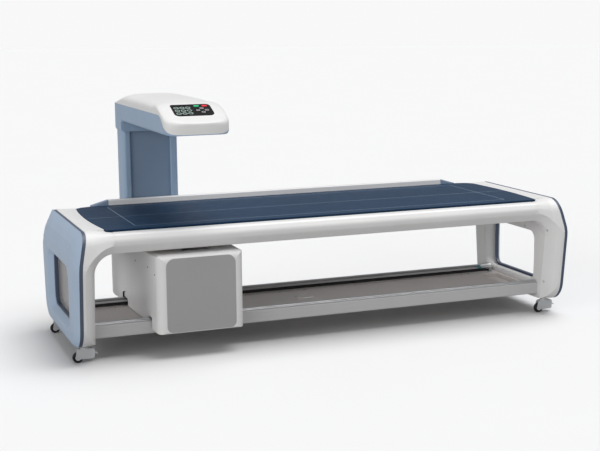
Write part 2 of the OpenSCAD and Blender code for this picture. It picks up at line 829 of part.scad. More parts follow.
// Appliance inlet with a fuse drawer, set into the back of the rear beam.
module mains_inlet() {
  color([0.08, 0.08, 0.09]) at_table()
    translate([inlet_x, rear_beam_y + rear_beam_w, inlet_z]) difference() {
      union() {
        along_y(0, 3) outline([[-34, -20, 4], [34, -20, 4], [34, 20, 4], [-34, 20, 4]]);
        along_y(-inlet_depth - 3, 1) inlet_body();
      }
      along_y(-inlet_depth, 4) outline([
        [-23, -11, 2], [3, -11, 2], [3, 6, 1], [-2, 11, 1], [-18, 11, 1], [-23, 6, 1]
      ]);
      along_y(1.5, 4) outline([[8, -11, 2], [23, -11, 2], [23, 11, 2], [8, 11, 2]]);
    }
}

// ---------- screws ----------

module screw_head() {
  difference() {
    cylinder(h = 2.4, d1 = 9, d2 = 6.5, $fn = 32);
    translate([0, 0, 1]) cylinder(h = 2, d = 3.4, $fn = 6);
  }
}

deck_screws_x = [311, 641, 955, 998];

module table_screws() {
  color([0.55, 0.55, 0.56]) at_table() {
    for (m = [0, 1]) mirror([m, 0, 0]) {
      for (y = [-1, 1]) {
        for (p = face_screws)
          translate([leg_inner_x, y * p[0], p[1]]) rotate([0, -90, 0]) screw_head();
        for (p = flare_screws)
          translate([screw_seat_x, y * p[0], p[1]]) rotate([0, -90, 0]) screw_head();
      }
      for (x = deck_screws_x)
        translate([x, beam_front_y + beam_w + 18, deck_z]) screw_head();
      for (x = deck_screws_x)
        translate([x, rear_beam_y - 60, deck_z]) screw_head();
    }
    for (x = [strap_x[0] - 38, strap_x[1] + 20])
      translate([x, rear_beam_y - 60, deck_z]) screw_head();
  }
}

// ---------- castors ----------

module at_castor(side, row) {
  at_table() translate([side * castor_x, row * castor_y, 0]) children();
}

module fork_outline() {
  translate([-trail, wheel_z]) circle(r = 13, $fn = round_fn);
  outline([
    [-trail - 11, wheel_z + 8, 0], [-trail - 4, fork_top, 12], [46, fork_top, 12],
    [44, 17, 10], [-trail + 8, 17, 3]
  ]);
}

module castor_fork(side, row) {
  color([0.79, 0.79, 0.79]) at_castor(side, row) {
    difference() {
      along_y(-fork_half_w, fork_half_w) fork_outline();
      box([-far, -fork_half_w + cheek_t, -1], [42, fork_half_w - cheek_t, fork_top - 5]);
      box([-far, -fork_half_w + cheek_t, -1], [far, fork_half_w - cheek_t, fork_top - 12]);
      translate([pedal_x, fork_half_w + 1, pedal_z]) rotate([90, 0, 0])
        cylinder(h = 2 * fork_half_w + 2, d = axle_d + 2 * running, $fn = round_fn);
      for (s = [-1, 1])
        translate([-trail, s * fork_half_w, wheel_z]) rotate([90, 0, 0])
          cylinder(h = 3, d = axle_d - 1, center = true, $fn = round_fn);
    }
    translate([-trail, fork_half_w - 2, wheel_z]) rotate([90, 0, 0])
      cylinder(h = 2 * fork_half_w - 4, d = axle_d, $fn = round_fn);
    translate([0, 0, fork_top - 1]) cylinder(h = race_top - fork_top + 1, d = 38, $fn = round_fn);
    translate([0, 0, race_top - 1]) cylinder(h = stem_h + 1, d = stem_d, $fn = round_fn);
  }
}

module castor_wheel(side, row) {
  bore_r = axle_d / 2 + running;
  color([0.07, 0.07, 0.08]) at_castor(side, row) translate([-trail, 0, wheel_z])
    rotate([90, 0, 0]) rotate_extrude($fn = 96) outline([
      [bore_r, -wheel_w / 2, 0], [12, -wheel_w / 2, 0], [13, -wheel_w / 2 + 1.5, 0],
      [18, -wheel_w / 2 + 1.5, 0], [19, -wheel_w / 2, 0],
      [wheel_d / 2, -wheel_w / 2, 4], [wheel_d / 2, wheel_w / 2, 4],
      [19, wheel_w / 2, 0], [18, wheel_w / 2 - 1.5, 0],
      [13, wheel_w / 2 - 1.5, 0], [12, wheel_w / 2, 0], [bore_r, wheel_w / 2, 0]
    ]);
}

module brake_pedal(side, row) {
  color([0.09, 0.09, 0.10]) at_castor(side, row) {
    along_y(-wheel_w / 2, wheel_w / 2) {
      translate([pedal_x, pedal_z]) circle(d = 14, $fn = round_fn);
      outline([
        [pedal_x - 12, pedal_z - 3, 2], [pedal_x + 20, pedal_z - 4, 3], [59, pedal_z - 10, 2],
        [60, pedal_z - 5, 2], [pedal_x + 20, pedal_z + 4, 6], [pedal_x - 12, pedal_z + 4, 2]
      ]);
    }
    translate([pedal_x, fork_half_w - 0.2, pedal_z]) rotate([90, 0, 0])
      cylinder(h = 2 * fork_half_w - 0.4, d = axle_d, $fn = round_fn);
  }
}

// ---------- gantry below the table ----------

module gantry_plan(inset = 0) {
  outline(both_sides([
    [-(box_half_w - inset), box_front_y + inset, 40 - inset],
    [-(box_mid_half_w - inset), 90, 900],
    [-(box_half_w - inset), gantry_rear_y - inset, 110 - inset]
  ]));
}

module gantry_front_view(inset = 0) {
  outline(both_sides([
    [-(box_mid_half_w - 3 - inset), box_z0 + inset, 30 - inset],
    [-(box_mid_half_w + 3 - inset), box_z1 - inset, 48 - inset]
  ]));
}

module gantry_side_view(inset = 0) {
  outline([
    [box_front_y + inset, box_z0 + inset, 8],
    [gantry_rear_y - inset, box_z0 + 16 + inset, 30],
    [gantry_rear_y - inset, far, 0],
    [column_y - 3 + inset, far, 0],
    [column_y - 3 + inset, box_z1 - inset, 0],
    [box_front_y + inset, box_z1 - inset, 36 - inset]
  ]);
}

module lower_body(inset = 0) {
  intersection() {
    up_z(box_z0 + inset, box_z1 - inset) gantry_plan(inset);
    along_y(-far / 2, far / 2) gantry_front_view(inset);
    along_x(-far / 2, far / 2) gantry_side_view(inset);
  }
}

// Room for the beams, the deck, the guide rails and the belt under the box.
module track_cut() {
  along_x(-far / 2, far / 2) polygon([
    [beam_front_y - 8, 0], [beam_front_y - 8, guide_top + 5],
    [beam_front_y + beam_w + 8, guide_top + 5], [beam_front_y + beam_w + 8, deck_z + 3],
    [pulley_y - pulley_r - 18, deck_z + 3], [pulley_y - pulley_r - 18, guide_top + 5],
    [rear_beam_y + rear_beam_w + 8, guide_top + 5], [rear_beam_y + rear_beam_w + 8, 0]
  ]);
}

module front_panel_outline(grow = 0) {
  outline(both_sides([
    [-(box_half_w - 40 + grow), box_z0 + 6 - grow, 28 + grow],
    [-(box_half_w - 40 + grow), box_z1 - 16 + grow, 40 + grow]
  ]));
}

scan_reach = mattress_half_w - 31;
scan_slot = [[-59, -scan_reach], [76, scan_reach]];

module source_box() {
  color([0.90, 0.90, 0.89]) at_gantry() difference() {
    lower_body();
    lower_body(wall);
    box([-far, column_y - 8, 0], [far, far, far]);
    track_cut();
    along_y(box_front_y - 1, box_front_y + wall / 2) front_panel_outline(slip);
    box([scan_slot[0][0], scan_slot[0][1], box_z1 - 20], [scan_slot[1][0], scan_slot[1][1], far]);
  }
}

module front_panel() {
  color([0.54, 0.54, 0.54]) at_gantry()
    along_y(box_front_y, box_front_y + wall / 2) front_panel_outline();
}

module scan_window() {
  color([0.12, 0.12, 0.13]) at_gantry()
    box([scan_slot[0][0] - 8, scan_slot[0][1] - 8, box_z1 - wall - 2.5],
        [scan_slot[1][0] + 8, scan_slot[1][1] + 8, box_z1 - wall]);
}

// Back of the box behind the table, rising to the column's foot.
module base_body(inset = 0) {
  intersection() {
    up_z(box_z0 + inset, column_z0 - inset) gantry_plan(inset);
    along_y(-far / 2, far / 2) outline(both_sides([
      [-(box_mid_half_w - 3 - inset), box_z0 + inset, 30 - inset],
      [-(box_mid_half_w + 3 - inset), column_z0 - inset, 70 - inset]
    ]));
    along_x(-far / 2, far / 2) outline([
      [column_y - 8, box_z0 + inset, 0],
      [gantry_rear_y - inset, box_z0 + 16 + inset, 30],
      [gantry_rear_y - inset, column_z0 - inset, 24],
      [column_y - 8, column_z0 - inset, 0]
    ]);
  }
}

module column_base_cover() {
  color([0.90, 0.90, 0.89]) at_gantry() difference() {
    base_body();
    difference() {
      base_body(wall);
      box([-far, column_y - 9, box_z1 - wall], [far, column_y - 8 + wall, far]);
    }
    up_z(column_z0 - 2 * wall, far) offset_column();
  }
}

module carriage_plate() {
  clamp_y = pulley_y - pulley_r;
  color([0.66, 0.67, 0.69]) at_gantry() difference() {
    union() {
      up_z(carriage_z0, carriage_top) outline([
        [-carriage_half_w, carriage_front_y, 12], [carriage_half_w, carriage_front_y, 12],
        [carriage_half_w, core_y + core_d, 12], [-carriage_half_w, core_y + core_d, 12]
      ]);
      // lugs that carry the plastic box and the column's base cover
      intersection() {
        for (y = [-300, 60, 330, 500])
          box([-far, y - 15, carriage_z0], [far, y + 15, carriage_top]);
        lower_body(wall + slip);
      }
      // clamp that grips the belt's front run
      box([-22, clamp_y - 10, belt_z0 - 2], [22, clamp_y - belt_t / 2 - 0.1, carriage_z0 + 1]);
    }
    for (x = [-100, 0, 100], y = [-230, -80, 260, 400])
      translate([x, y, carriage_z0 - 1]) cylinder(h = carriage_t + 2, d = 50, $fn = round_fn);
  }
}

module bearing_block(y) {
  half_l = 32;
  half_w = 19;
  along_x(-half_l, half_l) polygon([
    [y - half_w, beam_z1 + 3], [y - guide_w / 2 - slip, beam_z1 + 3],
    [y - guide_w / 2 - slip, guide_top + slip], [y + guide_w / 2 + slip, guide_top + slip],
    [y + guide_w / 2 + slip, beam_z1 + 3], [y + half_w, beam_z1 + 3],
    [y + half_w, carriage_z0], [y - half_w, carriage_z0]
  ]);
}

module bearing_blocks() {
  color([0.50, 0.52, 0.55]) at_gantry() for (x = [-110, 110], y = [front_guide_y, rear_guide_y])
    translate([x, 0, 0]) bearing_block(y);
}

// ---------- source ----------

source_rail_x = 80;
tank_z0 = carriage_top + 14;

module source_rails() {
  color([0.78, 0.78, 0.79]) at_gantry() for (s = [-1, 1])
    box([s * source_rail_x - 8, carriage_front_y + 5, carriage_top],
        [s * source_rail_x + 8, core_y - 60, carriage_top + 10]);
}

module xray_tank() {
  color([0.70, 0.71, 0.70]) at_gantry() difference() {
    union() {
      up_z(tank_z0, tank_z0 + 190) outline(both_sides([[-105, -82, 14], [-105, 82, 14]]));
      for (s = [-1, 1])
        box([s * source_rail_x - 14, -60, carriage_top + 2], [s * source_rail_x + 14, 60, tank_z0 + 1]);
      up_z(tank_z0 + 189, tank_z0 + 196) outline(both_sides([[-95, -72, 14], [-95, 72, 14]]));
    }
    for (s = [-1, 1])
      box([s * source_rail_x - 8 - slip, -100, carriage_top],
          [s * source_rail_x + 8 + slip, 100, carriage_top + 10 + slip]);
  }
}

module collimator() {
  z = tank_z0 + 196;
  color([0.72, 0.62, 0.36]) at_gantry() translate([0, 0, z]) difference() {
    union() {
      cylinder(h = 6, d = 70, $fn = round_fn);
      cylinder(h = 40, d = 44, $fn = round_fn);
    }
    translate([0, 0, -1]) cylinder(h = 60, d = 6, $fn = round_fn);
    translate([0, 0, 30]) cylinder(h = 20, d = 30, $fn = round_fn);
  }
}

// ---------- column ----------

module column_core() {
  color([0.60, 0.62, 0.64]) at_gantry() up_z(carriage_top, rail_z1) difference() {
    translate([-core_half_w, core_y]) square([2 * core_half_w, core_d]);
    translate([-core_half_w + core_wall, core_y + core_wall])
      square([2 * (core_half_w - core_wall), core_d - 2 * core_wall]);
  }
}

column_z1 = arm_z0 + 20;

// Rounded corner profile with a rebate for the panels.
module edge_profile() {
  difference() {
    outline([
      [-column_half_w, column_y, 18], [-column_half_w + edge_w, column_y, 8],
      [-column_half_w + edge_w, column_back_y, 8], [-column_half_w, column_back_y, 26]
    ]);
    translate([-column_half_w + edge_web, column_y + column_recess])
      square([far, column_d - column_recess - 3]);
  }
}

module column_edge_profiles() {
  color([0.60, 0.69, 0.78]) at_gantry() up_z(column_z0 - 2 * wall + slip, column_z1) {
    edge_profile();
    mirror([1, 0]) edge_profile();
  }
}

module column_front_panel() {
  color([0.36, 0.42, 0.49]) at_gantry()
    box([-core_half_w, column_y + column_recess, column_z0 - 2 * wall + slip],
        [core_half_w, column_y + column_recess + panel_sheet, column_z1]);
}

module column_rear_cover() {
  half = core_half_w;
  color([0.60, 0.69, 0.78]) at_gantry() difference() {
    box([-half, column_back_y - 7, column_z0 - 2 * wall + slip], [half, column_back_y - 3, column_z1]);
    for (i = [0:7])
      along_y(column_back_y - 20, column_back_y + 5) translate([0, column_z0 + 60 + i * 14])
        outline(both_sides([[-45, -2, 1.9], [-45, 2, 1.9]]));
  }
}

// ---------- arm ----------

// Outline of the whole column with room to slide over it.
module offset_column() {
  outline(both_sides([
    [-column_half_w - slip, column_y - slip, 18], [-column_half_w - slip, column_back_y + slip, 26]
  ]));
}

module arm_plan(inset = 0) {
  outline([
    [-(arm_half_w - inset), gantry_rear_y - 8 - inset, 45 - inset],
    [-(arm_half_w - inset), arm_front_y + 18 + inset, 75 - inset],
    [0, arm_front_y - 12 + inset, 360],
    [arm_half_w - inset, arm_front_y + 18 + inset, 75 - inset],
    [arm_half_w - inset, gantry_rear_y - 8 - inset, 45 - inset]
  ]);
}

module arm_side_view(inset = 0) {
  outline([
    [gantry_rear_y - 6 - inset, arm_z0 - collar_h, 0],
    [column_y - 10 + inset, arm_z0 - collar_h, 0],
    [column_y - 10 + inset, arm_z0 + inset, 16],
    [arm_front_y + 12 + inset, arm_z0 + inset, 10],
    [arm_front_y + inset, arm_z0 + 28, 14],
    [arm_front_y + inset, arm_z0 + 48, 14],
    [slope_low[0] + inset * 0.6, slope_low[1] - inset, 34],
    [slope_top[0] + inset * 0.2, slope_top[1] - inset, 90],
    [0, arm_top_z + 2 - inset, 900],
    [gantry_rear_y - 6 - inset, arm_top_z - 20 - inset, 70 - inset]
  ]);
}

module arm_front_view(inset = 0) {
  outline([
    [-(arm_half_w - inset), arm_z0 - collar_h - 1, 0],
    [-(arm_half_w - inset), arm_top_z - 26 - inset, 44 - inset],
    [0, arm_top_z + 9 - inset, 450],
    [arm_half_w - inset, arm_top_z - 26 - inset, 44 - inset],
    [arm_half_w - inset, arm_z0 - collar_h - 1, 0]
  ]);
}

module arm_body(inset = 0) {
  intersection() {
    up_z(arm_z0 - collar_h - 1, arm_top_z + 10) arm_plan(inset);
    along_x(-far / 2, far / 2) arm_side_view(inset);
    along_y(-far / 2, far / 2) arm_front_view(inset);
  }
}

// Space above the seam, which runs level and then sweeps down round the head.
module above_seam() {
  along_x(-far / 2, far / 2) outline([
    [far / 2, arm_seam_z, 0], [arm_front_y + 130, arm_seam_z, 75],
    [arm_front_y + 42, arm_z0 + 9, 26], [-far / 2, arm_z0 + 4, 0],
    [-far / 2, far / 2, 0], [far / 2, far / 2, 0]
  ]);
}

module at_panel() {
  translate([0, panel_mid[0], panel_mid[1]]) rotate([slope_angle, 0, 0]) children();
}

module panel_outline(grow = 0) {
  outline([
    [-panel_w / 2 - grow, panel_d / 2 + grow, 12 + grow],
    [-panel_w / 2 - grow, -panel_d / 2 - grow, 26 + grow],
    [panel_w / 2 + grow, -panel_d / 2 - grow, 26 + grow],
    [panel_w / 2 + grow, panel_d / 2 + grow, panel_corner_r + grow]
  ]);
}

module arm_top_cover() {
  color([0.93, 0.93, 0.92]) at_gantry() difference() {
    intersection() {
      arm_body();
      above_seam();
    }
    arm_body(wall);
    at_panel() up_z(-panel_t, 40) panel_outline(slip);
    at_panel() up_z(-30, 1) outline(both_sides([
      [-panel_w / 2 + 9, -panel_d / 2 + 9, 16], [-panel_w / 2 + 9, panel_d / 2 - 9, 12]
    ]));
  }
}

module arm_lower_shell() {
  color([0.62, 0.70, 0.80]) at_gantry() difference() {
    arm_body();
    above_seam();
    intersection() {
      arm_body(wall);
      box([-far, -far, arm_z0 + wall], [far, far, far]);
    }
    up_z(0, arm_z0 + 40) offset_column();
  }
}

module detector_rail() {
  color([0.78, 0.78, 0.79]) at_gantry() difference() {
    box([-34, arm_front_y + 122, rail_z0], [34, core_y, rail_z1]);
    for (y = [-240:80:400])
      translate([0, y, rail_z0 - 1]) cylinder(h = 30, d = 30, $fn = round_fn);
  }
}

module detector() {
  color([0.20, 0.21, 0.23]) at_gantry() {
    difference() {
      up_z(arm_z0 + 10, rail_z0 - slip) outline(both_sides([[-45, -45, 8], [-45, 45, 8]]));
      translate([0, 0, arm_z0 + 9]) cylinder(h = 10, d = 50, $fn = round_fn);
    }
    // side lips that hang on the rail
    for (s = [-1, 1])
      box([s * 38.5 - 4, -40, rail_z0 - slip - 1], [s * 38.5 + 4, 40, rail_z0 + 15]);
  }
}

// ---------- control panel ----------

arrow_size = [19, 14];
main_key_size = [25, 14];
pad_size = [23, 18];
start_at = [28, 38];
stop_at = [67, 38];
arrows_mid = [47, -6];
arrow_reach = [21, 19];
pads_at = [-72, 22];
pad_pitch = [28, 27];

function arrow_at(name) =
  name == "left" ? arrows_mid - [arrow_reach[0], 0] :
  name == "right" ? arrows_mid + [arrow_reach[0], 0] :
  name == "rear" ? arrows_mid + [0, arrow_reach[1]] : arrows_mid - [0, arrow_reach[1]];

// A key's outline: straight along, round at both ends.
module oval(size, grow = 0) {
  r = size[1] / 2 + grow;
  reach = size[0] / 2 - size[1] / 2;
  for (s = [-1, 1]) translate([s * reach, 0]) circle(r = r, $fn = 32);
  translate([-reach, -r]) square([2 * reach, 2 * r]);
}

module control_panel() {
  color([0.03, 0.03, 0.04]) at_gantry() at_panel() {
    difference() {
      up_z(-panel_t, 0) panel_outline();
      for (p = [start_at, stop_at])
        translate([p[0], p[1], -5]) linear_extrude(height = 10) oval(main_key_size, slip);
      for (n = ["left", "right", "rear", "front"])
        translate([arrow_at(n)[0], arrow_at(n)[1], -5]) linear_extrude(height = 10)
          oval(arrow_size, slip);
    }
    // nine sealed preset pads, embossed in the overlay
    for (i = [0:2], j = [0:2])
      translate([pads_at[0] + i * pad_pitch[0], pads_at[1] - j * pad_pitch[1], -tiny])
        linear_extrude(height = 0.8) oval(pad_size);
  }
}

// A key cap with the flange that keeps it under the panel.
module push_key(p, size) {
  at_gantry() at_panel() translate([p[0], p[1], 0]) {
    up_z(-panel_t - slip - 0.5, key_travel + 0.6) oval(size);
    up_z(-panel_t - slip - 2, -panel_t - slip) oval(size, 1.5);
  }
}

module start_key() {
  color([0.10, 0.62, 0.42]) push_key(start_at, main_key_size);
}

module stop_key() {
  color([0.80, 0.08, 0.15]) push_key(stop_at, main_key_size);
}

module arrow_key(name) {
  color([0.45, 0.45, 0.46]) push_key(arrow_at(name), arrow_size);
}

// ---------- nodes ----------

end_frame(-1);  // head_end_frame
end_frame(1);  // foot_end_frame
end_plate(-1);  // head_end_plate
end_plate(1);  // foot_end_plate
end_cap(-1);  // head_end_cap
end_cap(1);  // foot_end_cap
front_side_rail();
rear_side_rail();
rear_guard_rail();
guard_wings();
table_board();
mattress();
front_beam();
rear_beam();
lower_deck();
guide_rails();
drive_motor();
pulley_brackets();
timing_belt();
table_screws();
limit_switches();
mains_inlet();
drive_pulley();
idler_pulley();
castor_fork(-1, -1);  // castor_fork_head_front
castor_fork(-1, 1);  // castor_fork_head_rear
castor_fork(1, -1);  // castor_fork_foot_front
castor_fork(1, 1);  // castor_fork_foot_rear
castor_wheel(-1, -1);  // castor_wheel_head_front
castor_wheel(-1, 1);  // castor_wheel_head_rear
castor_wheel(1, -1);  // castor_wheel_foot_front
castor_wheel(1, 1);  // castor_wheel_foot_rear
brake_pedal(-1, -1);  // brake_pedal_head_front
brake_pedal(-1, 1);  // brake_pedal_head_rear
brake_pedal(1, -1);  // brake_pedal_foot_front
brake_pedal(1, 1);  // brake_pedal_foot_rear
carriage_plate();
bearing_blocks();
source_box();
front_panel();
scan_window();
source_rails();
xray_tank();
collimator();
column_core();
column_base_cover();
column_edge_profiles();
column_front_panel();
column_rear_cover();
arm_lower_shell();
arm_top_cover();
detector_rail();
detector();
control_panel();
start_key();
stop_key();
arrow_key("left");  // arrow_key_left
arrow_key("right");  // arrow_key_right
arrow_key("rear");  // arrow_key_rear
arrow_key("front");  // arrow_key_front
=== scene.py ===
"""Whole-body bone densitometer: finishes, mattress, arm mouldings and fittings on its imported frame."""

import json
import math

import bmesh
import bpy
from mathutils import Matrix, Vector


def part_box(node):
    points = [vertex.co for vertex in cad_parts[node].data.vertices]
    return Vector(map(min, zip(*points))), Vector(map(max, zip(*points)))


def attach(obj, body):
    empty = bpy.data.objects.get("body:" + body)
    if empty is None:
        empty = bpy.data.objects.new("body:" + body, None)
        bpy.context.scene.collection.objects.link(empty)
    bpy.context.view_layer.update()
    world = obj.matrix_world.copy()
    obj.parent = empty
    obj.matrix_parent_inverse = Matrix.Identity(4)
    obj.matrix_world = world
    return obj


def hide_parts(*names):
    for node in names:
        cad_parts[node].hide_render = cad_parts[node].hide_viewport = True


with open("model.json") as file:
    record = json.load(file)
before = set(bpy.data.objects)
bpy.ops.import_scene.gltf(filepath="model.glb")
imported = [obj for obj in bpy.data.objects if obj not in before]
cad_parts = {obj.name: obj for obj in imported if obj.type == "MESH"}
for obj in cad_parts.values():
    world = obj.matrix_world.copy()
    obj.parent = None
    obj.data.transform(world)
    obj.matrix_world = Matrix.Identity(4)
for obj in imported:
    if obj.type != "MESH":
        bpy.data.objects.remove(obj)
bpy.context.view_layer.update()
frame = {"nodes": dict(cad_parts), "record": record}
NODES = frame["nodes"]

bl_info = {
    "name": "Bone densitometer",
    "version": (1, 0, 0),
    "blender": (4, 5, 0),
    "location": "View3D > Sidebar > Densitometer",
    "description": "Finishes and small fittings for a whole-body bone densitometer",
    "category": "Object",
}

MM = 0.001
# faces that turn by more than this meet in a sharp edge, in degrees: small pieces, and broad soft ones
SMOOTH = 35
SMOOTH_BROAD = 40


# ---------- small helpers ----------


def linear(code):
    """An sRGB hex value as the linear colour that a shader takes."""
    out = []
    for i in (0, 2, 4):
        c = int(code.lstrip("#")[i : i + 2], 16) / 255
        out.append(c / 12.92 if c <= 0.04045 else ((c + 0.055) / 1.055) ** 2.4)
    return (*out, 1.0)


def add(tree, kind, settings=None, inputs=None):
    """Adds a shader node with its properties, and its sockets' values or the sockets linked to them."""
    made = tree.nodes.new(kind)
    for key, value in (settings or {}).items():
        setattr(made, key, value)
    for key, value in (inputs or {}).items():
        if isinstance(value, bpy.types.NodeSocket):
            tree.links.new(value, made.inputs[key])
        else:
            made.inputs[key].default_value = value
    return made


def shader(name):
    """A new material with its tree, its Principled shader and object coordinates."""
    made = bpy.data.materials.new(name)
    made.use_nodes = True
    tree = made.node_tree
    tree.nodes.clear()
    surface = add(tree, "ShaderNodeBsdfPrincipled")
    out = add(tree, "ShaderNodeOutputMaterial")
    tree.links.new(surface.outputs["BSDF"], out.inputs["Surface"])
    place = add(tree, "ShaderNodeTexCoord").outputs["Object"]
    return made, tree, surface, place


def per_metre(millimetres):
    """Texture scale that gives a pattern of that size."""
    return 1000.0 / millimetres


def toned(tree, place, colour, size, amount):
    """The colour, slightly lighter and darker in patches of that size in millimetres."""
    patch = add(tree, "ShaderNodeTexNoise", {}, {"Vector": place, "Scale": per_metre(size), "Detail": 3.0})
    darker = tuple(c * (1 - amount) for c in colour[:3]) + (1.0,)
    lighter = tuple(min(1.0, c * (1 + amount)) for c in colour[:3]) + (1.0,)
    ramp = add(tree, "ShaderNodeValToRGB", {}, {"Fac": patch.outputs["Fac"]})
    ramp.color_ramp.elements[0].position, ramp.color_ramp.elements[0].color = 0.3, darker
    ramp.color_ramp.elements[1].position, ramp.color_ramp.elements[1].color = 0.7, lighter
    return ramp.outputs["Color"]


def uneven(tree, pattern, surface, low, high):
    """Lets the surface's roughness wander between two values with a pattern."""
    span = add(tree, "ShaderNodeMapRange", {}, {"Value": pattern, "To Min": low, "To Max": high})
    tree.links.new(span.outputs["Result"], surface.inputs["Roughness"])


def moulded(name, code, rough, grain=1.6, depth=0.06, tone=0.025):
    """Moulded plastic: a fine spark-eroded grain, drawn coarser than the real 0.3 mm so that it shows,
    which breaks up the highlights and keeps the sheen soft."""
    made, tree, surface, place = shader(name)
    tree.links.new(toned(tree, place, linear(code), 260, tone), surface.inputs["Base Color"])
    patch = add(tree, "ShaderNodeTexNoise", {}, {"Vector": place, "Scale": per_metre(90), "Detail": 4.0})
    uneven(tree, patch.outputs["Fac"], surface, rough - 0.05, rough + 0.06)
    grains = add(tree, "ShaderNodeTexNoise", {}, {"Vector": place, "Scale": per_metre(grain), "Detail": 2.0})
    bump = add(
        tree,
        "ShaderNodeBump",
        {},
        {"Height": grains.outputs["Fac"], "Strength": depth, "Distance": 0.4 * MM},
    )
    tree.links.new(bump.outputs["Normal"], surface.inputs["Normal"])
    surface.inputs["IOR"].default_value = 1.49
    return made


def coated(name, code, rough, peel=3.0):
    """Powder-coated metal: an even satin colour over a faint orange peel about 3 mm across."""
    made, tree, surface, place = shader(name)
    tree.links.new(toned(tree, place, linear(code), 320, 0.02), surface.inputs["Base Color"])
    lumps = add(tree, "ShaderNodeTexNoise", {}, {"Vector": place, "Scale": per_metre(peel), "Detail": 1.0})
    bump = add(
        tree,
        "ShaderNodeBump",
        {},
        {"Height": lumps.outputs["Fac"], "Strength": 0.08, "Distance": 0.3 * MM},
    )
    tree.links.new(bump.outputs["Normal"], surface.inputs["Normal"])
    patch = add(tree, "ShaderNodeTexNoise", {}, {"Vector": place, "Scale": per_metre(140), "Detail": 3.0})
    uneven(tree, patch.outputs["Fac"], surface, rough - 0.04, rough + 0.05)
    return made


def metal(name, code, rough, along=None, streak=2.0, mottled=0.0):
    """Bare or plated metal. along stretches its grinding marks along one axis; mottled gives zinc's
    patches."""
    made, tree, surface, place = shader(name)
    surface.inputs["Metallic"].default_value = 1.0
    if mottled:
        spangle = add(tree, "ShaderNodeTexVoronoi", {}, {"Vector": place, "Scale": per_metre(7)})
        base = linear(code)
        ramp = add(tree, "ShaderNodeValToRGB", {}, {"Fac": spangle.outputs["Color"]})
        ramp.color_ramp.elements[0].color = tuple(c * (1 - mottled) for c in base[:3]) + (1.0,)
        ramp.color_ramp.elements[1].color = base
        tree.links.new(ramp.outputs["Color"], surface.inputs["Base Color"])
    else:
        tree.links.new(toned(tree, place, linear(code), 60, 0.05), surface.inputs["Base Color"])
    size = [1.0, 1.0, 1.0]
    if along is not None:
        size[along] = 0.02
    lined = add(tree, "ShaderNodeMapping", {}, {"Vector": place, "Scale": size})
    marks = add(
        tree,
        "ShaderNodeTexNoise",
        {},
        {"Vector": lined.outputs["Vector"], "Scale": per_metre(streak), "Detail": 3.0},
    )
    uneven(tree, marks.outputs["Fac"], surface, rough - 0.08, rough + 0.1)
    bump = add(
        tree,
        "ShaderNodeBump",
        {},
        {"Height": marks.outputs["Fac"], "Strength": 0.1, "Distance": 0.1 * MM},
    )
    tree.links.new(bump.outputs["Normal"], surface.inputs["Normal"])
    return made


# ---------- user settings ----------


class DensitometerColours(bpy.types.PropertyGroup):
    """Colours that a buyer chooses, as sRGB hex values."""

    body: bpy.props.StringProperty(name="Body", description="Off-white mouldings", default="#E4E3E2")
    rails: bpy.props.StringProperty(name="Rails", description="Side and guard rails", default="#E6E5E4")
    cap: bpy.props.StringProperty(name="End caps", description="Caps of both ends", default="#A9BBD0")
    strip: bpy.props.StringProperty(name="Strip", description="Strip round each end", default="#4C566A")
    mattress: bpy.props.StringProperty(name="Mattress", description="Mattress cover", default="#0A304E")
    column: bpy.props.StringProperty(name="Column", description="Column edges, arm shell", default="#96ADC6")
    recess: bpy.props.StringProperty(name="Recess", description="Front of the column", default="#8296AE")
    panel: bpy.props.StringProperty(name="Front panel", description="Source box panel", default="#A6A5A5")
    deck: bpy.props.StringProperty(name="Deck", description="Sheet between the beams", default="#D2CCC9")
    beams: bpy.props.StringProperty(name="Beams", description="Lower beams", default="#C4C3C3")


class DensitometerSizes(bpy.types.PropertyGroup):
    """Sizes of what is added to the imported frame."""

    crown: bpy.props.FloatProperty(
        name="Crown", description="Rise of the mattress at its middle", default=1.5 * MM, subtype="DISTANCE"
    )
    edge: bpy.props.FloatProperty(
        name="Edge", description="Radius of the mattress's rim", default=5 * MM, subtype="DISTANCE"
    )
    tuck: bpy.props.FloatProperty(
        name="Tuck", description="How far the mattress's sides draw in", default=6 * MM, subtype="DISTANCE"
    )


# ---------- finishes ----------

# how much light the vinyl and the panel's overlay throw back, against the usual 0.5
DULL = 0.25

# the mattress's printed guide lines: distances from its middle, half a line's width, colour and strength
END_LINE = 979 * MM
SIDE_LINE = 297 * MM
MIDDLE_LINE = -15 * MM
LINE_HALF = 1.6 * MM
PRINT_COLOUR = "#9FB4C8"
PRINT_STRENGTH = 0.75
# further than any point of the mattress lies from its middle, in metres
ALL_ALONG = 2.0


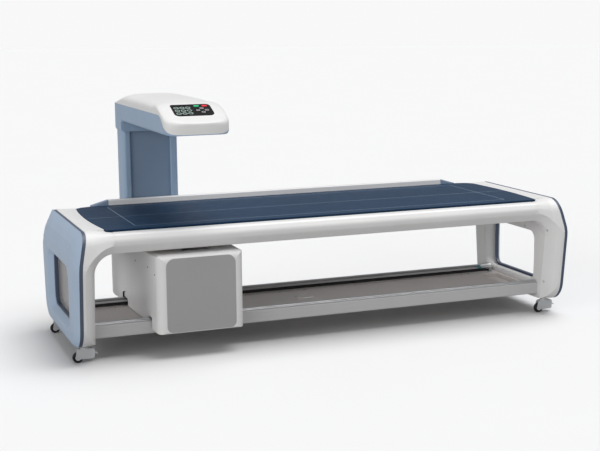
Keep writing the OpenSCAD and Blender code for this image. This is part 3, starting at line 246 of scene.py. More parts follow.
def make_finishes(colours):
    """One finish for each material slot of the frame."""
    made = {}
    # ABS, injection moulded: soft satin, warm off-white
    made["off_white_moulding"] = moulded("abs_off_white", colours.body, 0.42)
    # ABS with a darker masterbatch, the same tool finish
    made["slate_strip"] = moulded("abs_slate", colours.strip, 0.40)
    # ABS, moulded in light blue: broad soft highlights
    made["blue_cap"] = moulded("abs_light_blue", colours.cap, 0.38)
    # extruded aluminium under powder coat: smooth, satin
    made["white_rail"] = coated("powder_coat_white", colours.rails, 0.34)
    # ABS in a greyer blue: duller than the caps
    made["blue_wing"] = moulded("abs_blue_grey", "#7E90A6", 0.45)
    # high-pressure laminate over the board's edge
    made["board"] = moulded("laminate_pale", "#D9D8D5", 0.5)
    # powder coat on folded steel: satin, with a faint orange peel
    made["beam_paint"] = coated("powder_coat_grey", colours.beams, 0.38)
    made["deck_paint"] = coated("powder_coat_taupe", colours.deck, 0.42)
    # ground bearing steel, marks running along X
    made["ground_steel"] = metal("ground_steel", "#C9CACB", 0.32, along=0)
    # sprayed enamel: near black, half gloss
    made["black_motor"] = coated("enamel_black", "#1B1C1E", 0.4)
    # zinc electroplate: dull silver with a faint spangle
    made["zinc_plate"] = metal("zinc_plated_steel", "#B9BBBD", 0.38, mottled=0.12)
    # neoprene with a fabric face: dull black, coarse grain
    made["belt_rubber"] = moulded("neoprene_belt", "#161617", 0.6, grain=2.5, depth=0.2)
    # moulded nylon: black, slightly dull
    made["black_plastic"] = moulded("nylon_black", "#17181A", 0.5)
    # aluminium from the lathe: fine close marks
    made["pulley_alloy"] = metal("turned_aluminium", "#C8CBD0", 0.3, streak=1.0)
    # glass-filled nylon: pale grey, slightly speckled
    made["castor_grey"] = moulded("nylon_grey", "#C4C6C8", 0.46, tone=0.05)
    # cast polyurethane tyre: black with a soft sheen
    made["wheel_black"] = moulded("polyurethane_black", "#121213", 0.48)
    # primer on rolled steel plate: flat mid grey
    made["plate_steel"] = coated("primer_grey", "#7B7E82", 0.5)
    # ABS with a coarser tool finish: flatter than the mouldings round it
    made["panel_grey"] = moulded("abs_mid_grey", colours.panel, 0.5, grain=2.0, depth=0.1)
    # smoked polycarbonate: smooth and dark, with sharp reflections
    made["dark_window"] = moulded("polycarbonate_dark", "#101113", 0.18, depth=0.0)
    # sand-cast aluminium: dull, unevenly grey
    made["tank_metal"] = metal("cast_aluminium", "#A9ACAF", 0.5, mottled=0.06)
    # machined brass: warm yellow metal
    made["lead_brass"] = metal("machined_brass", "#B79B63", 0.32)
    # ABS, moulded in light blue: satin
    made["light_blue"] = moulded("abs_column_blue", colours.column, 0.36)
    # ABS in slate blue: duller than the column's edges
    made["slate_blue"] = moulded("abs_slate_blue", colours.recess, 0.44)
    # anodised aluminium: dark, faintly metallic
    made["detector_case"] = metal("anodised_black", "#3A3C40", 0.42)
    # polyester overlay, gloss hard coat: near black with sharp reflections
    made["panel_black"] = moulded("overlay_black", "#060607", 0.22, depth=0.0)
    made["panel_black"].node_tree.nodes["Principled BSDF"].inputs["Specular IOR Level"].default_value = DULL
    # acrylic lenses with a painted glow: they emit their own colour evenly, and no lamp is modelled behind
    # them
    made["key_green"] = painted_glow_key("lens_green", "#1FA36B", 0.5)
    made["key_red"] = painted_glow_key("lens_red", "#D0202F", 0.5)
    # silicone keys: dark, soft sheen
    made["key_dark"] = moulded("silicone_dark", "#2A2B2D", 0.4)
    # coated upholstery vinyl: navy, with a pebble grain
    made["navy_vinyl"] = vinyl("vinyl_navy", colours.mattress)
    return made


def painted_glow_key(name, code, painted_glow):
    """A glossy moulded lens with a painted glow: it gives off its own colour evenly all over, though no lamp
    lights it.
    """
    made = moulded(name, code, 0.22, depth=0.0, tone=0.08)
    surface = next(n for n in made.node_tree.nodes if n.type == "BSDF_PRINCIPLED")
    # painted glow: emission in the lens's own colour, the same all over
    surface.inputs["Emission Color"].default_value = linear(code)
    surface.inputs["Emission Strength"].default_value = painted_glow
    return made


def vinyl(name, code):
    """Coated upholstery vinyl: a pebble grain about 2 mm across with pale guide lines printed on it."""
    made, tree, surface, place = shader(name)
    low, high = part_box("mattress")
    middle = (low.y + high.y) / 2
    xyz = add(tree, "ShaderNodeSeparateXYZ", {}, {"Vector": place})
    x, y, z = (xyz.outputs[k] for k in "XYZ")
    size_x = add(tree, "ShaderNodeMath", {"operation": "ABSOLUTE"}, {0: x}).outputs[0]
    off_y = add(tree, "ShaderNodeMath", {"operation": "SUBTRACT"}, {0: y, 1: middle}).outputs[0]
    size_y = add(tree, "ShaderNodeMath", {"operation": "ABSOLUTE"}, {0: off_y}).outputs[0]
    # two lines across the ends, two along the sides and one along the middle
    printed = 0.0
    for value, at, reached, reach in (
        (size_x, END_LINE, off_y, SIDE_LINE),
        (size_y, SIDE_LINE, x, END_LINE),
        (off_y, MIDDLE_LINE, x, ALL_ALONG),
    ):
        on = add(tree, "ShaderNodeMath", {"operation": "COMPARE"}, {0: value, 1: at, 2: LINE_HALF})
        within = add(tree, "ShaderNodeMath", {"operation": "COMPARE"}, {0: reached, 1: 0.0, 2: reach})
        line = add(
            tree,
            "ShaderNodeMath",
            {"operation": "MULTIPLY"},
            {0: on.outputs[0], 1: within.outputs[0]},
        )
        both = add(tree, "ShaderNodeMath", {"operation": "MAXIMUM"}, {0: printed, 1: line.outputs[0]})
        printed = both.outputs[0]
    # the print is on the top only
    top = add(tree, "ShaderNodeMath", {"operation": "COMPARE"}, {0: z, 1: high.z, 2: 6 * MM})
    ink = add(tree, "ShaderNodeMath", {"operation": "MULTIPLY"}, {0: printed, 1: top.outputs[0]})
    worn = add(tree, "ShaderNodeMath", {"operation": "MULTIPLY"}, {0: ink.outputs[0], 1: PRINT_STRENGTH})
    base = toned(tree, place, linear(code), 400, 0.07)
    mix = add(
        tree,
        "ShaderNodeMix",
        {"data_type": "RGBA"},
        {"Factor": worn.outputs[0], 6: base, 7: linear(PRINT_COLOUR)},
    )
    tree.links.new(mix.outputs[2], surface.inputs["Base Color"])
    pebble = add(tree, "ShaderNodeTexVoronoi", {}, {"Vector": place, "Scale": per_metre(2.2)})
    fold = add(tree, "ShaderNodeTexNoise", {}, {"Vector": place, "Scale": per_metre(120), "Detail": 2.0})
    first = add(
        tree,
        "ShaderNodeBump",
        {},
        {"Height": pebble.outputs["Distance"], "Strength": 0.18, "Distance": 0.5 * MM},
    )
    second = add(
        tree,
        "ShaderNodeBump",
        {},
        {
            "Height": fold.outputs["Fac"],
            "Strength": 0.12,
            "Distance": 2 * MM,
            "Normal": first.outputs["Normal"],
        },
    )
    tree.links.new(second.outputs["Normal"], surface.inputs["Normal"])
    patch = add(tree, "ShaderNodeTexNoise", {}, {"Vector": place, "Scale": per_metre(80), "Detail": 3.0})
    uneven(tree, patch.outputs["Fac"], surface, 0.44, 0.56)
    surface.inputs["Specular IOR Level"].default_value = DULL
    return made


class DENSITOMETER_OT_finishes(bpy.types.Operator):
    """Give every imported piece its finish"""

    bl_idname = "densitometer.finishes"
    bl_label = "Finishes"

    def execute(self, context):
        made = make_finishes(context.scene.densitometer_colours)
        for part in frame["record"]["subparts"]:
            piece = NODES[part["node"]]
            piece.data.materials.clear()
            piece.data.materials.append(made[part["material_slot"]])
        return {"FINISHED"}


# ---------- mattress ----------


def rim_of(piece):
    """The plan outline of a packed slab, in order round its middle."""
    mesh = bmesh.new()
    mesh.from_mesh(piece.data)
    bmesh.ops.remove_doubles(mesh, verts=mesh.verts, dist=1e-5)
    top = max(v.co.z for v in mesh.verts)
    found = {(round(v.co.x, 5), round(v.co.y, 5)) for v in mesh.verts if v.co.z > top - 1e-4}
    mesh.free()
    middle = (min(p[1] for p in found) + max(p[1] for p in found)) / 2
    return sorted(found, key=lambda p: math.atan2(p[1] - middle, p[0]))


def reach_at(rim, y):
    """How far the outline reaches along X, either way, at that Y."""
    crossed = []
    for (x0, y0), (x1, y1) in zip(rim, rim[1:] + rim[:1]):
        if (y0 - y) * (y1 - y) <= 0 and y0 != y1:
            crossed.append(x0 + (x1 - x0) * (y - y0) / (y1 - y0))
    return min(crossed), max(crossed)


# the mattress's grid along X and Y, and how far inside the outline it stays
MATTRESS_GRID = (150, 56)
MATTRESS_CLEAR = 0.02 * MM
# how flat the crown stays over the middle: 2 is a plain arch
CROWN_FLAT = 6
# the lowest part of the sides, which draws in
TUCK_BAND = 5 * MM
# the rim: corners that turn by more than this, in degrees, are rounded in so many steps
RIM_ANGLE = 50
RIM_STEPS = 5


class DENSITOMETER_OT_mattress(bpy.types.Operator):
    """Model the mattress: a firm pad with bowed ends, a rounded rim and a slight crown"""

    bl_idname = "densitometer.mattress"
    bl_label = "Mattress"

    def execute(self, context):
        sizes = context.scene.densitometer_sizes
        rim = rim_of(NODES["mattress"])
        low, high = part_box("mattress")
        bpy.ops.object.select_all(action="DESELECT")
        columns, rows = MATTRESS_GRID
        bpy.ops.mesh.primitive_grid_add(x_subdivisions=columns, y_subdivisions=rows, size=2)
        pad = context.active_object
        pad.name = "mattress_pad"
        middle, half = (low.y + high.y) / 2, (high.y - low.y) / 2 - MATTRESS_CLEAR
        for v in pad.data.vertices:
            # rows lie closer together towards the long edges, where the corners are rounded
            row = math.sin(v.co.y * math.pi / 2)
            y = middle + half * row
            left, right = reach_at(rim, y)
            rise = sizes.crown * (1 - v.co.x**CROWN_FLAT) * (1 - row**CROWN_FLAT)
            v.co = ((left + right) / 2 + v.co.x * (right - left) / 2, y, high.z - sizes.crown + rise)
        bpy.ops.object.mode_set(mode="EDIT")
        bpy.ops.mesh.select_all(action="SELECT")
        down = (0, 0, low.z - high.z + sizes.crown)
        bpy.ops.mesh.extrude_region_move(TRANSFORM_OT_translate={"value": down})
        bpy.ops.mesh.select_all(action="SELECT")
        bpy.ops.mesh.normals_make_consistent(inside=False)
        bpy.ops.object.mode_set(mode="OBJECT")
        # the sides draw in below the rim, where the cover is pulled under the board
        tucked = Vector((1 - sizes.tuck / high.x, 1 - sizes.tuck / half, 1))
        for v in pad.data.vertices:
            if v.co.z < low.z + TUCK_BAND:
                v.co = (v.co.x * tucked.x, middle + (v.co.y - middle) * tucked.y, low.z)
        rounded = pad.modifiers.new("rim", "BEVEL")
        rounded.limit_method, rounded.angle_limit = "ANGLE", math.radians(RIM_ANGLE)
        rounded.width, rounded.segments = sizes.edge, RIM_STEPS
        bpy.ops.object.modifier_apply(modifier="rim")
        bpy.ops.object.shade_smooth_by_angle(angle=math.radians(SMOOTH_BROAD))
        pad.data.materials.append(NODES["mattress"].data.materials[0])
        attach(pad, "table")
        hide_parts("mattress")
        return {"FINISHED"}


# ---------- helpers for new pieces ----------

# points closer than this are one
NEAR = 0.01 * MM
# how far off a face the line that seeks it starts, in millimetres
SEEK = 20


def press_axis():
    """Which way the start key is pressed, which is straight into the control panel's face."""
    joints = frame["record"]["behaviour"]["joints"]
    return next(Vector(j["axis"]) for j in joints if j["child"] == "start_key")


def pick(piece, wanted):
    """In edit mode, selects the vertices whose place is wanted, and what lies between them."""
    mesh = bmesh.from_edit_mesh(piece.data)
    bpy.ops.mesh.select_all(action="DESELECT")
    for v in mesh.verts:
        v.select_set(bool(wanted(v.co)))
    mesh.select_flush(True)
    bmesh.update_edit_mesh(piece.data)


def finish_piece(piece, body, material, smooth=SMOOTH):
    """Smooth shading, place in the mesh, finish and body for a new piece."""
    bpy.ops.object.select_all(action="DESELECT")
    piece.select_set(True)
    bpy.context.view_layer.objects.active = piece
    bpy.ops.object.transform_apply(location=True, rotation=True, scale=True)
    bpy.ops.object.shade_smooth_by_angle(angle=math.radians(smooth))
    piece.data.materials.append(material)
    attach(piece, body)


def apply_all(piece):
    """Applies a piece's modifiers in their order."""
    for modifier in list(piece.modifiers):
        bpy.ops.object.modifier_apply(modifier=modifier.name)


def seat(node, start, aim):
    """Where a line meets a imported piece, and which way that place faces."""
    piece = NODES[node]
    hit, place, normal, _ = piece.ray_cast(Vector(start), Vector(aim).normalized())
    if not hit:
        raise RuntimeError(f"nothing of {node} lies on the line from {start}")
    return place, normal


def outline_of(name, size, line, height):
    """A flat oval band, lying in the XY plane: size is its length and width."""
    length, width = size
    bpy.ops.object.select_all(action="DESELECT")
    bpy.ops.mesh.primitive_circle_add(vertices=40, radius=width / 2, fill_type="NGON")
    band = bpy.context.active_object
    band.name = name
    bpy.ops.object.mode_set(mode="EDIT")
    for side in (-1, 1):
        pick(band, lambda at: at.x * side > NEAR)
        bpy.ops.transform.translate(value=(side * (length - width) / 2, 0, 0))
    bpy.ops.mesh.select_all(action="SELECT")
    bpy.ops.mesh.inset(thickness=line)
    bpy.ops.mesh.delete(type="FACE")
    bpy.ops.object.mode_set(mode="OBJECT")
    solid = band.modifiers.new("thickness", "SOLIDIFY")
    solid.thickness, solid.offset = height, 1.0
    soft = band.modifiers.new("edge", "BEVEL")
    soft.width, soft.segments, soft.limit_method = height * 0.3, 2, "ANGLE"
    apply_all(band)
    return band


def copied(piece, name):
    """A copy of a piece with its own mesh."""
    twin = piece.copy()
    twin.data = piece.data.copy()
    twin.name = name
    bpy.context.collection.objects.link(twin)
    return twin


# ---------- arm ----------


def softer_min(a, b, blend):
    """The smaller of two heights, with the corner between them rounded."""
    return min(a, b) - max(blend - abs(a - b), 0) ** 2 / (4 * blend)


# All lengths of the arm are in millimetres. The seam is where the white cover meets the blue shell.
# The mouldings are made for their outside. Out of sight they run into the control panel's rim, the edge
# of the stop key and the top of the column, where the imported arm's pieces stay clear of them.
ARM_DEPTH = 152
SEAM_HEIGHT = 92
WALL = 3
# between the shell's collar and the column's front
COLLAR_GAP = 10
# where the white cover starts, from the arm's back; the back rounds off over the same length
COVER_START = 45

# in plan, the length over which the nose rounds off, and how far the back draws in
NOSE_ROUND = 75
BACK_DRAW = 40
# how full the rounded curves are: 2 is a circle's quarter, and more is squarer
FULLNESS = 2.6

# the shell's top behind the cover: how far it starts under the seam, how far it rises, and its fullness
LID_START = 30
LID_RISE = 33
LID_FULLNESS = 2.4
# the height of the wall under that top, and what it gains towards the back
LID_WALL = 2
LID_WALL_GAIN = 30

# the cover lies this far under the control panel's face, along the slope
PANEL_PROUD = 0.4
# the level part: under the arm's top, its fall towards the nose, and where that fall starts and its length
LEVEL_DOWN = 2
LEVEL_FALL = 14
LEVEL_START = 552
LEVEL_LENGTH = 364
# the fall towards the back: its foot over the seam, its height and its length
REAR_FOOT = 3
REAR_RISE = 55
REAR_LENGTH = 300
# the nose: its foot over the underside, its height and length, and its slope further on
NOSE_FOOT = 36
NOSE_RISE = 46
NOSE_LENGTH = 58
NOSE_SLOPE = 3
# how widely the slope runs into the level part, that into the rear fall, and these into the nose
SLOPE_BLEND = 14
REAR_BLEND = 10
NOSE_BLEND = 8

# the seam's sweep down to the nose: where it starts, its length and depth, and how late it falls
SWEEP_START = 160
SWEEP_LENGTH = 155
SWEEP_DEPTH = 84
SWEEP_LATE = 1.4
# the cover's edge lies this far under the seam
SEAM_LAP = 3

# the underside: the bend down the collar, and the nose's lift with its length
COLLAR_BEND = 16
NOSE_LIFT = 2
NOSE_LIFT_LENGTH = 20
# how square the upper half is at the nose, what it loses behind, from where, and over what length
SQUARE = 6.0
SQUARE_LOSS = 2.6
SQUARE_START = 190
SQUARE_LENGTH = 80
# the lower corners' radius, the most it takes of a low side, and the steps round each
CORNER = 18
CORNER_SHARE = 0.7
CORNER_STEPS = 6


class ArmForm:
    """The arm's form, in millimetres. u is the distance from the nose and d the distance from the back."""

    def __init__(self):
        low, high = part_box("arm_lower_shell")
        cover_low, cover_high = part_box("arm_top_cover")
        panel_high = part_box("control_panel")[1]
        self.middle = (low.x + high.x) / 2 / MM
        self.half = (high.x - low.x) / 2 / MM
        self.nose = min(low.y, cover_low.y) / MM
        self.back = max(high.y, cover_high.y) / MM
        self.length = self.back - self.nose
        self.collar = low.z / MM
        self.top = cover_high.z / MM
        self.under = self.top - ARM_DEPTH
        self.seam = self.under + SEAM_HEIGHT
        self.column_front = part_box("column_edge_profiles")[0].y / MM - COLLAR_GAP - self.nose
        press = press_axis()
        self.rise = press.y / -press.z
        # the panel's face passes through this point
        self.face = (panel_high.y / MM - self.nose - 1, panel_high.z / MM)

    def width(self, u):
        """Half the width: the nose and the back are rounded in plan."""
        front = max(1 - u / NOSE_ROUND, 0)
        rear = max(1 - (self.length - u) / COVER_START, 0)
        rounded = self.half * (1 - front**FULLNESS) ** (1 / FULLNESS)
        return rounded - BACK_DRAW * (1 - math.sqrt(1 - rear**2))

    def lid(self, u):
        """Height of the blue shell's top behind the white cover."""
        d = self.length - u
        share = (1 - (1 - d / COVER_START) ** LID_FULLNESS) ** (1 / LID_FULLNESS)
        return self.seam - LID_START + LID_RISE * share

    def crest(self, u):
        """Height of the cover along its middle: nose, slope, level part and the fall towards the back."""
        d = self.length - u
        slope = self.face[1] - PANEL_PROUD + (u - self.face[0]) * self.rise
        level = self.top - LEVEL_DOWN - LEVEL_FALL * (max(LEVEL_START - u, 0) / LEVEL_LENGTH) ** 2
        behind = 1 - max(1 - (d - COVER_START) / REAR_LENGTH, 0) ** FULLNESS
        fall = self.seam + REAR_FOOT + REAR_RISE * behind
        ahead = (1 - max(1 - u / NOSE_LENGTH, 0) ** FULLNESS) ** (1 / FULLNESS)
        nose = self.under + NOSE_FOOT + NOSE_RISE * ahead + max(u - NOSE_LENGTH, 0) * NOSE_SLOPE
        top = softer_min(softer_min(slope, level, SLOPE_BLEND), fall, REAR_BLEND)
        return softer_min(top, nose, NOSE_BLEND)

    def side(self, u):
        """Height at which the upper mouldings start: the seam drops in a curve to the nose."""
        if self.length - u < COVER_START:
            return self.lid(u) - LID_WALL - LID_WALL_GAIN * (1 - (self.length - u) / COVER_START)
        t = min(max((SWEEP_START - u) / SWEEP_LENGTH, 0), 1)
        return self.seam - SEAM_LAP - SWEEP_DEPTH * (t * t * (3 - 2 * t)) ** SWEEP_LATE

    def bottom(self, u):
        """Height of the underside: level, then down the collar in front of the column."""
        bend = min(max(u - self.column_front + COLLAR_BEND, 0), COLLAR_BEND)
        lift = NOSE_LIFT * max(1 - u / NOSE_LIFT_LENGTH, 0) ** 2
        drop = self.under - COLLAR_BEND + math.sqrt(COLLAR_BEND**2 - bend**2) + lift
        return self.collar if u > self.column_front else drop

    def over(self, u, s):
        """A point of the upper half-ring; s runs from one side, 0, to the other, 1."""
        top = self.crest(u) if self.length - u >= COVER_START else self.lid(u)
        power = 2 / (SQUARE - SQUARE_LOSS * min(max((u - SQUARE_START) / SQUARE_LENGTH, 0), 1))
        turn = math.pi * s
        across = math.copysign(abs(math.cos(turn)) ** power, math.cos(turn))
        side = self.side(u)
        return -self.width(u) * across, u, side + (top - side) * max(math.sin(turn), 0) ** power

    def under_ring(self, u):
        """The lower half-ring, from side to side, with rounded corners."""
        width, side, bottom = self.width(u), self.side(u), self.bottom(u)
        r = min(CORNER, (side - bottom) * CORNER_SHARE)
        half = [(-width, side)]
        for i in range(CORNER_STEPS + 1):
            turn = math.radians(90 / CORNER_STEPS * i)
            half.append((-width + r - r * math.cos(turn), bottom + r - r * math.sin(turn)))
        return half + [(-x, z) for x, z in reversed(half)]

    def place(self, x, u, z):
        """A point of the form in the frame."""
        return Vector((self.middle + x, self.nose + u, z)) * MM


def skin_of(name, stations, count, point):
    """A grid laid over a form: point gives the place for a station and a step across it."""
    bpy.ops.object.select_all(action="DESELECT")
    bpy.ops.mesh.primitive_grid_add(x_subdivisions=count, y_subdivisions=len(stations) - 1, size=2)
    skin = bpy.context.active_object
    skin.name = name
    for v in skin.data.vertices:
        step = round((v.co.x + 1) / 2 * count)
        v.co = point(stations[round((v.co.y + 1) / 2 * (len(stations) - 1))], step)
    return skin


def close_end(skin, y):
    """Fills the open edge that lies at that Y."""
    pick(skin, lambda at: abs(at.y - y) < NEAR)
    bpy.ops.mesh.edge_face_add()


def thicken(skin, wall):
    """Gives a skin its wall, inwards."""
    bpy.ops.mesh.select_all(action="SELECT")
    bpy.ops.mesh.remove_doubles(threshold=NEAR)
    bpy.ops.object.mode_set(mode="OBJECT")
    solid = skin.modifiers.new("wall", "SOLIDIFY")
    solid.thickness, solid.offset = wall, -1.0
    apply_all(skin)


# Stations along the arm, closer together where the form bends. The first two lists are distances from the
# nose, the next two are distances from the back, and the last is the collar's bend from where it starts.
NOSE_STATIONS = (
    [0.6, 1.5, 3, 5, 8, 12, 17, 23, 30, 38, 47, 57]
    + [66, 76, 90, 104, 118, 132, 146, 158, 167, 176, 186]
)
CROWN_STATIONS = [196, 206, 218, 232, 250, 280, 320, 380, 450, 530, 610]
REAR_STATIONS = [360, 300, 260, 224, 190, 160, 134, 110, 90, 74, 62, 54, 49, 46]
BACK_STATIONS = [41, 36, 31, 26, 21, 16, 11, 7, 4, 1.5, 0.3]
BEND_STATIONS = [0, 6, 10, 13, 15, 15.9, 16, 16.5]
# other stations keep this far off the bend's
STATION_GAP = 2
# steps across the upper half
ACROSS = 48
# the hole behind the control panel's keys: half its width, and from where to where, from the nose
POCKET_HALF = 84
POCKET_START = 75
POCKET_END = 168
# the collar's opening below stops this far from the arm's back and from its sides
COLLAR_BACK = 30
COLLAR_SIDE = 20
# faces this near the collar's lower edge belong to it
COLLAR_LEVEL = 0.1


class DENSITOMETER_OT_arm(bpy.types.Operator):
    """Model the arm's two mouldings: a white cover whose seam sweeps down to the nose, and a blue shell"""

    bl_idname = "densitometer.arm"
    bl_label = "Arm"

    def execute(self, context):
        form = ArmForm()
        length, start = form.length, form.length - COVER_START
        rear = [length - d for d in REAR_STATIONS]
        back = [length - d for d in BACK_STATIONS]
        front = NOSE_STATIONS + CROWN_STATIONS + rear

        cover = skin_of(
            "arm_cover_skin", front + [start], ACROSS, lambda u, i: form.place(*form.over(u, i / ACROSS))
        )
        bpy.ops.object.mode_set(mode="EDIT")
        # the hole behind the control panel's keys; the stop key's edge still meets the cover
        sides = form.middle - POCKET_HALF, form.middle + POCKET_HALF
        ends = form.nose + POCKET_START, form.nose + POCKET_END
        bpy.ops.mesh.select_all(action="DESELECT")
        mesh = bmesh.from_edit_mesh(cover.data)
        for face in mesh.faces:
            at = face.calc_center_median() / MM
            face.select_set(sides[0] < at.x < sides[1] and ends[0] < at.y < ends[1])
        bmesh.update_edit_mesh(cover.data)
        bpy.ops.mesh.delete(type="FACE")
        close_end(cover, form.place(0, NOSE_STATIONS[0], 0).y)
        thicken(cover, WALL * MM)
        plain = NODES["arm_top_cover"].data.materials[0]
        finish_piece(cover, "gantry", plain, SMOOTH_BROAD)
        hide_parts("arm_top_cover")

        # stations round the bend where the underside turns down the collar
        bend = [form.column_front - COLLAR_BEND + d for d in BEND_STATIONS]
        ahead = [u for u in front if u < bend[0] - STATION_GAP]
        behind = [u for u in rear if u > bend[-1] + STATION_GAP] + [start] + back
        lower = ahead + bend + behind
        rings = {u: form.under_ring(u) for u in lower}
        count = len(rings[start]) - 1
        shell = skin_of(
            "arm_shell_skin", lower, count, lambda u, i: form.place(rings[u][i][0], u, rings[u][i][1])
        )
        # the shell's top, which stays selected and is joined to the rest
        skin_of("arm_shell_lid", [start] + back, ACROSS, lambda u, i: form.place(*form.over(u, i / ACROSS)))
        shell.select_set(True)
        bpy.context.view_layer.objects.active = shell
        bpy.ops.object.join()
        bpy.ops.object.mode_set(mode="EDIT")
        # the collar is open below, where the column comes in
        bpy.ops.mesh.select_all(action="DESELECT")
        mesh = bmesh.from_edit_mesh(shell.data)
        for face in mesh.faces:
            at = face.calc_center_median() / MM
            along = bend[-1] < at.y - form.nose < length - COLLAR_BACK
            low = at.z < form.collar + COLLAR_LEVEL
            face.select_set(along and low and abs(at.x - form.middle) < form.half - COLLAR_SIDE)
        bmesh.update_edit_mesh(shell.data)
        bpy.ops.mesh.delete(type="FACE")
        bpy.ops.mesh.select_all(action="SELECT")
        bpy.ops.mesh.remove_doubles(threshold=NEAR)
        bpy.ops.mesh.normals_make_consistent(inside=False)
        close_end(shell, form.place(0, lower[0], 0).y)
        close_end(shell, form.place(0, back[-1], 0).y)
        thicken(shell, WALL * MM)
        blue = NODES["arm_lower_shell"].data.materials[0]
        finish_piece(shell, "gantry", blue, SMOOTH_BROAD)
        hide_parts("arm_lower_shell")
        return {"FINISHED"}


# ---------- control panel ----------

# The panel's print, in millimetres: length and width of each outline, the width of its line, its height.
PAD = (23, 18)
PAD_LINE = 2.2
WINDOW = (17.6, 12.6)
WINDOW_LINE = 5.5
ARROW = (19, 14)
ARROW_LINE = 2.8
INK_HEIGHT = 0.25
LENS_HEIGHT = 0.2
# from the panel's upper edge down its slope to its middle, and how far over the face the line starts
PANEL_MIDDLE = 58
PANEL_OVER = 2
# the first pad from the panel's middle, and the steps between pads: along the panel, and up and down it
PAD_FIRST = (-72, 22)
PAD_STEP = (28, 27)
PAD_ROWS = 3
ARROWS = (("left", (26, -6)), ("right", (68, -6)), ("rear", (47, 13)), ("front", (47, -25)))


class DENSITOMETER_OT_panel_marks(bpy.types.Operator):
    """Print the outlines on the preset pads and on the arrow keys"""

    bl_idname = "densitometer.panel_marks"
    bl_label = "Panel outlines"

    def execute(self, context):
        press = press_axis()
        out = -press.normalized()
        along = Vector((1, 0, 0))
        uphill = out.cross(along)
        turn = Matrix((along, uphill, out)).transposed().to_4x4()
        low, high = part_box("control_panel")
        # the middle of the panel's face, from its upper edge
        edge = Vector(((low.x + high.x) / 2, high.y + PANEL_OVER * MM * out.y, high.z))
        zero = edge - uphill * PANEL_MIDDLE * MM
        # screen printing ink: pale green, fairly smooth
        ink = moulded("screen_ink_green", "#BFD8CD", 0.35, depth=0.0, tone=0.1)
        # translucent ink over the pad's window: dark green and glossy
        lens = moulded("screen_ink_dark_green", "#15302A", 0.2, depth=0.0, tone=0.2)
        # screen printing ink: warm grey, fairly smooth
        pale = moulded("screen_ink_grey", "#BDB7BA", 0.35, depth=0.0, tone=0.1)
        pad_size = (PAD[0] * MM, PAD[1] * MM)
        window_size = (WINDOW[0] * MM, WINDOW[1] * MM)
        arrow_size = (ARROW[0] * MM, ARROW[1] * MM)
        first = outline_of("pad_outline", pad_size, PAD_LINE * MM, INK_HEIGHT * MM)
        window = outline_of("pad_window", window_size, WINDOW_LINE * MM, LENS_HEIGHT * MM)
        for i in range(PAD_ROWS):
            for j in range(PAD_ROWS):
                x, y = PAD_FIRST[0] + PAD_STEP[0] * i, PAD_FIRST[1] - PAD_STEP[1] * j
                at = zero + along * x * MM + uphill * y * MM
                at, _ = seat("control_panel", at + out * SEEK * MM, press)
                for kind, material in ((first, ink), (window, lens)):
                    pad = copied(kind, f"{kind.name}_{PAD_ROWS * j + i + 1}")
                    pad.matrix_world = Matrix.Translation(at) @ turn
                    finish_piece(pad, "gantry", material)
        for kind in (first, window):
            bpy.data.objects.remove(kind)
        for name, (x, y) in ARROWS:
            key = "arrow_key_" + name
            at, _ = seat(key, zero + along * x * MM + uphill * y * MM + out * SEEK * MM, press)
            ring = outline_of(f"outline_{key}", arrow_size, ARROW_LINE * MM, INK_HEIGHT * MM)
            ring.matrix_world = Matrix.Translation(at) @ turn
            finish_piece(ring, key, pale)
        return {"FINISHED"}


# ---------- small fittings ----------


def strip_piece(name, profile, width, thick):
    """A bent strip: profile is its line in YZ, width its size along X."""
    bpy.ops.object.select_all(action="DESELECT")
    mesh = bpy.data.meshes.new(name)
    mesh.from_pydata([(0, y, z) for y, z in profile], [(i, i + 1) for i in range(len(profile) - 1)], [])
    strip = bpy.data.objects.new(name, mesh)
    bpy.context.collection.objects.link(strip)
    bpy.context.view_layer.objects.active = strip
    strip.select_set(True)
    bpy.ops.object.mode_set(mode="EDIT")
    bpy.ops.mesh.select_all(action="SELECT")
    bpy.ops.mesh.extrude_region_move(TRANSFORM_OT_translate={"value": (width, 0, 0)})
    bpy.ops.object.mode_set(mode="OBJECT")
    solid = strip.modifiers.new("thickness", "SOLIDIFY")
    solid.thickness, solid.offset, solid.use_even_offset = thick, 0.0, True
    soft = strip.modifiers.new("edge", "BEVEL")
    soft.width, soft.segments, soft.limit_method = thick * 0.25, 2, "ANGLE"
    apply_all(strip)
    bpy.ops.object.mode_set(mode="EDIT")
    bpy.ops.mesh.select_all(action="SELECT")
    bpy.ops.mesh.normals_make_consistent(inside=False)
    bpy.ops.object.mode_set(mode="OBJECT")
    return strip


# a screw head from below: each step's share of the height, and of the radius that it draws in
HEAD_STEPS = ((0.45, 0.0), (0.35, 0.14), (0.2, 0.24))
# the rim round the socket, as a share of the radius, and the socket's depth, as a share of the height
SOCKET_RIM = 0.2
SOCKET_DEPTH = 0.5


def cap_screw(name, radius, height):
    """A button-head screw, with its socket, standing up from the XY plane."""
    bpy.ops.object.select_all(action="DESELECT")
    bpy.ops.mesh.primitive_circle_add(vertices=28, radius=radius, fill_type="NGON")
    head = bpy.context.active_object
    head.name = name
    bpy.ops.object.mode_set(mode="EDIT")
    bpy.ops.mesh.select_all(action="SELECT")
    for rise, shrink in HEAD_STEPS:
        bpy.ops.mesh.extrude_region_move(TRANSFORM_OT_translate={"value": (0, 0, height * rise)})
        if shrink:
            bpy.ops.mesh.inset(thickness=radius * shrink)
    bpy.ops.mesh.inset(thickness=radius * SOCKET_RIM)
    bpy.ops.mesh.extrude_region_move(TRANSFORM_OT_translate={"value": (0, 0, -height * SOCKET_DEPTH)})
    bpy.ops.mesh.select_all(action="SELECT")
    bpy.ops.mesh.remove_doubles(threshold=NEAR)
    bpy.ops.mesh.normals_make_consistent(inside=False)
    bpy.ops.object.mode_set(mode="OBJECT")
    return head


def set_on(piece, place, normal):
    """Stands a piece modelled on the XY plane on that place."""
    turn = Vector(normal).to_track_quat("Z", "Y").to_matrix().to_4x4()
    piece.matrix_world = Matrix.Translation(place) @ turn


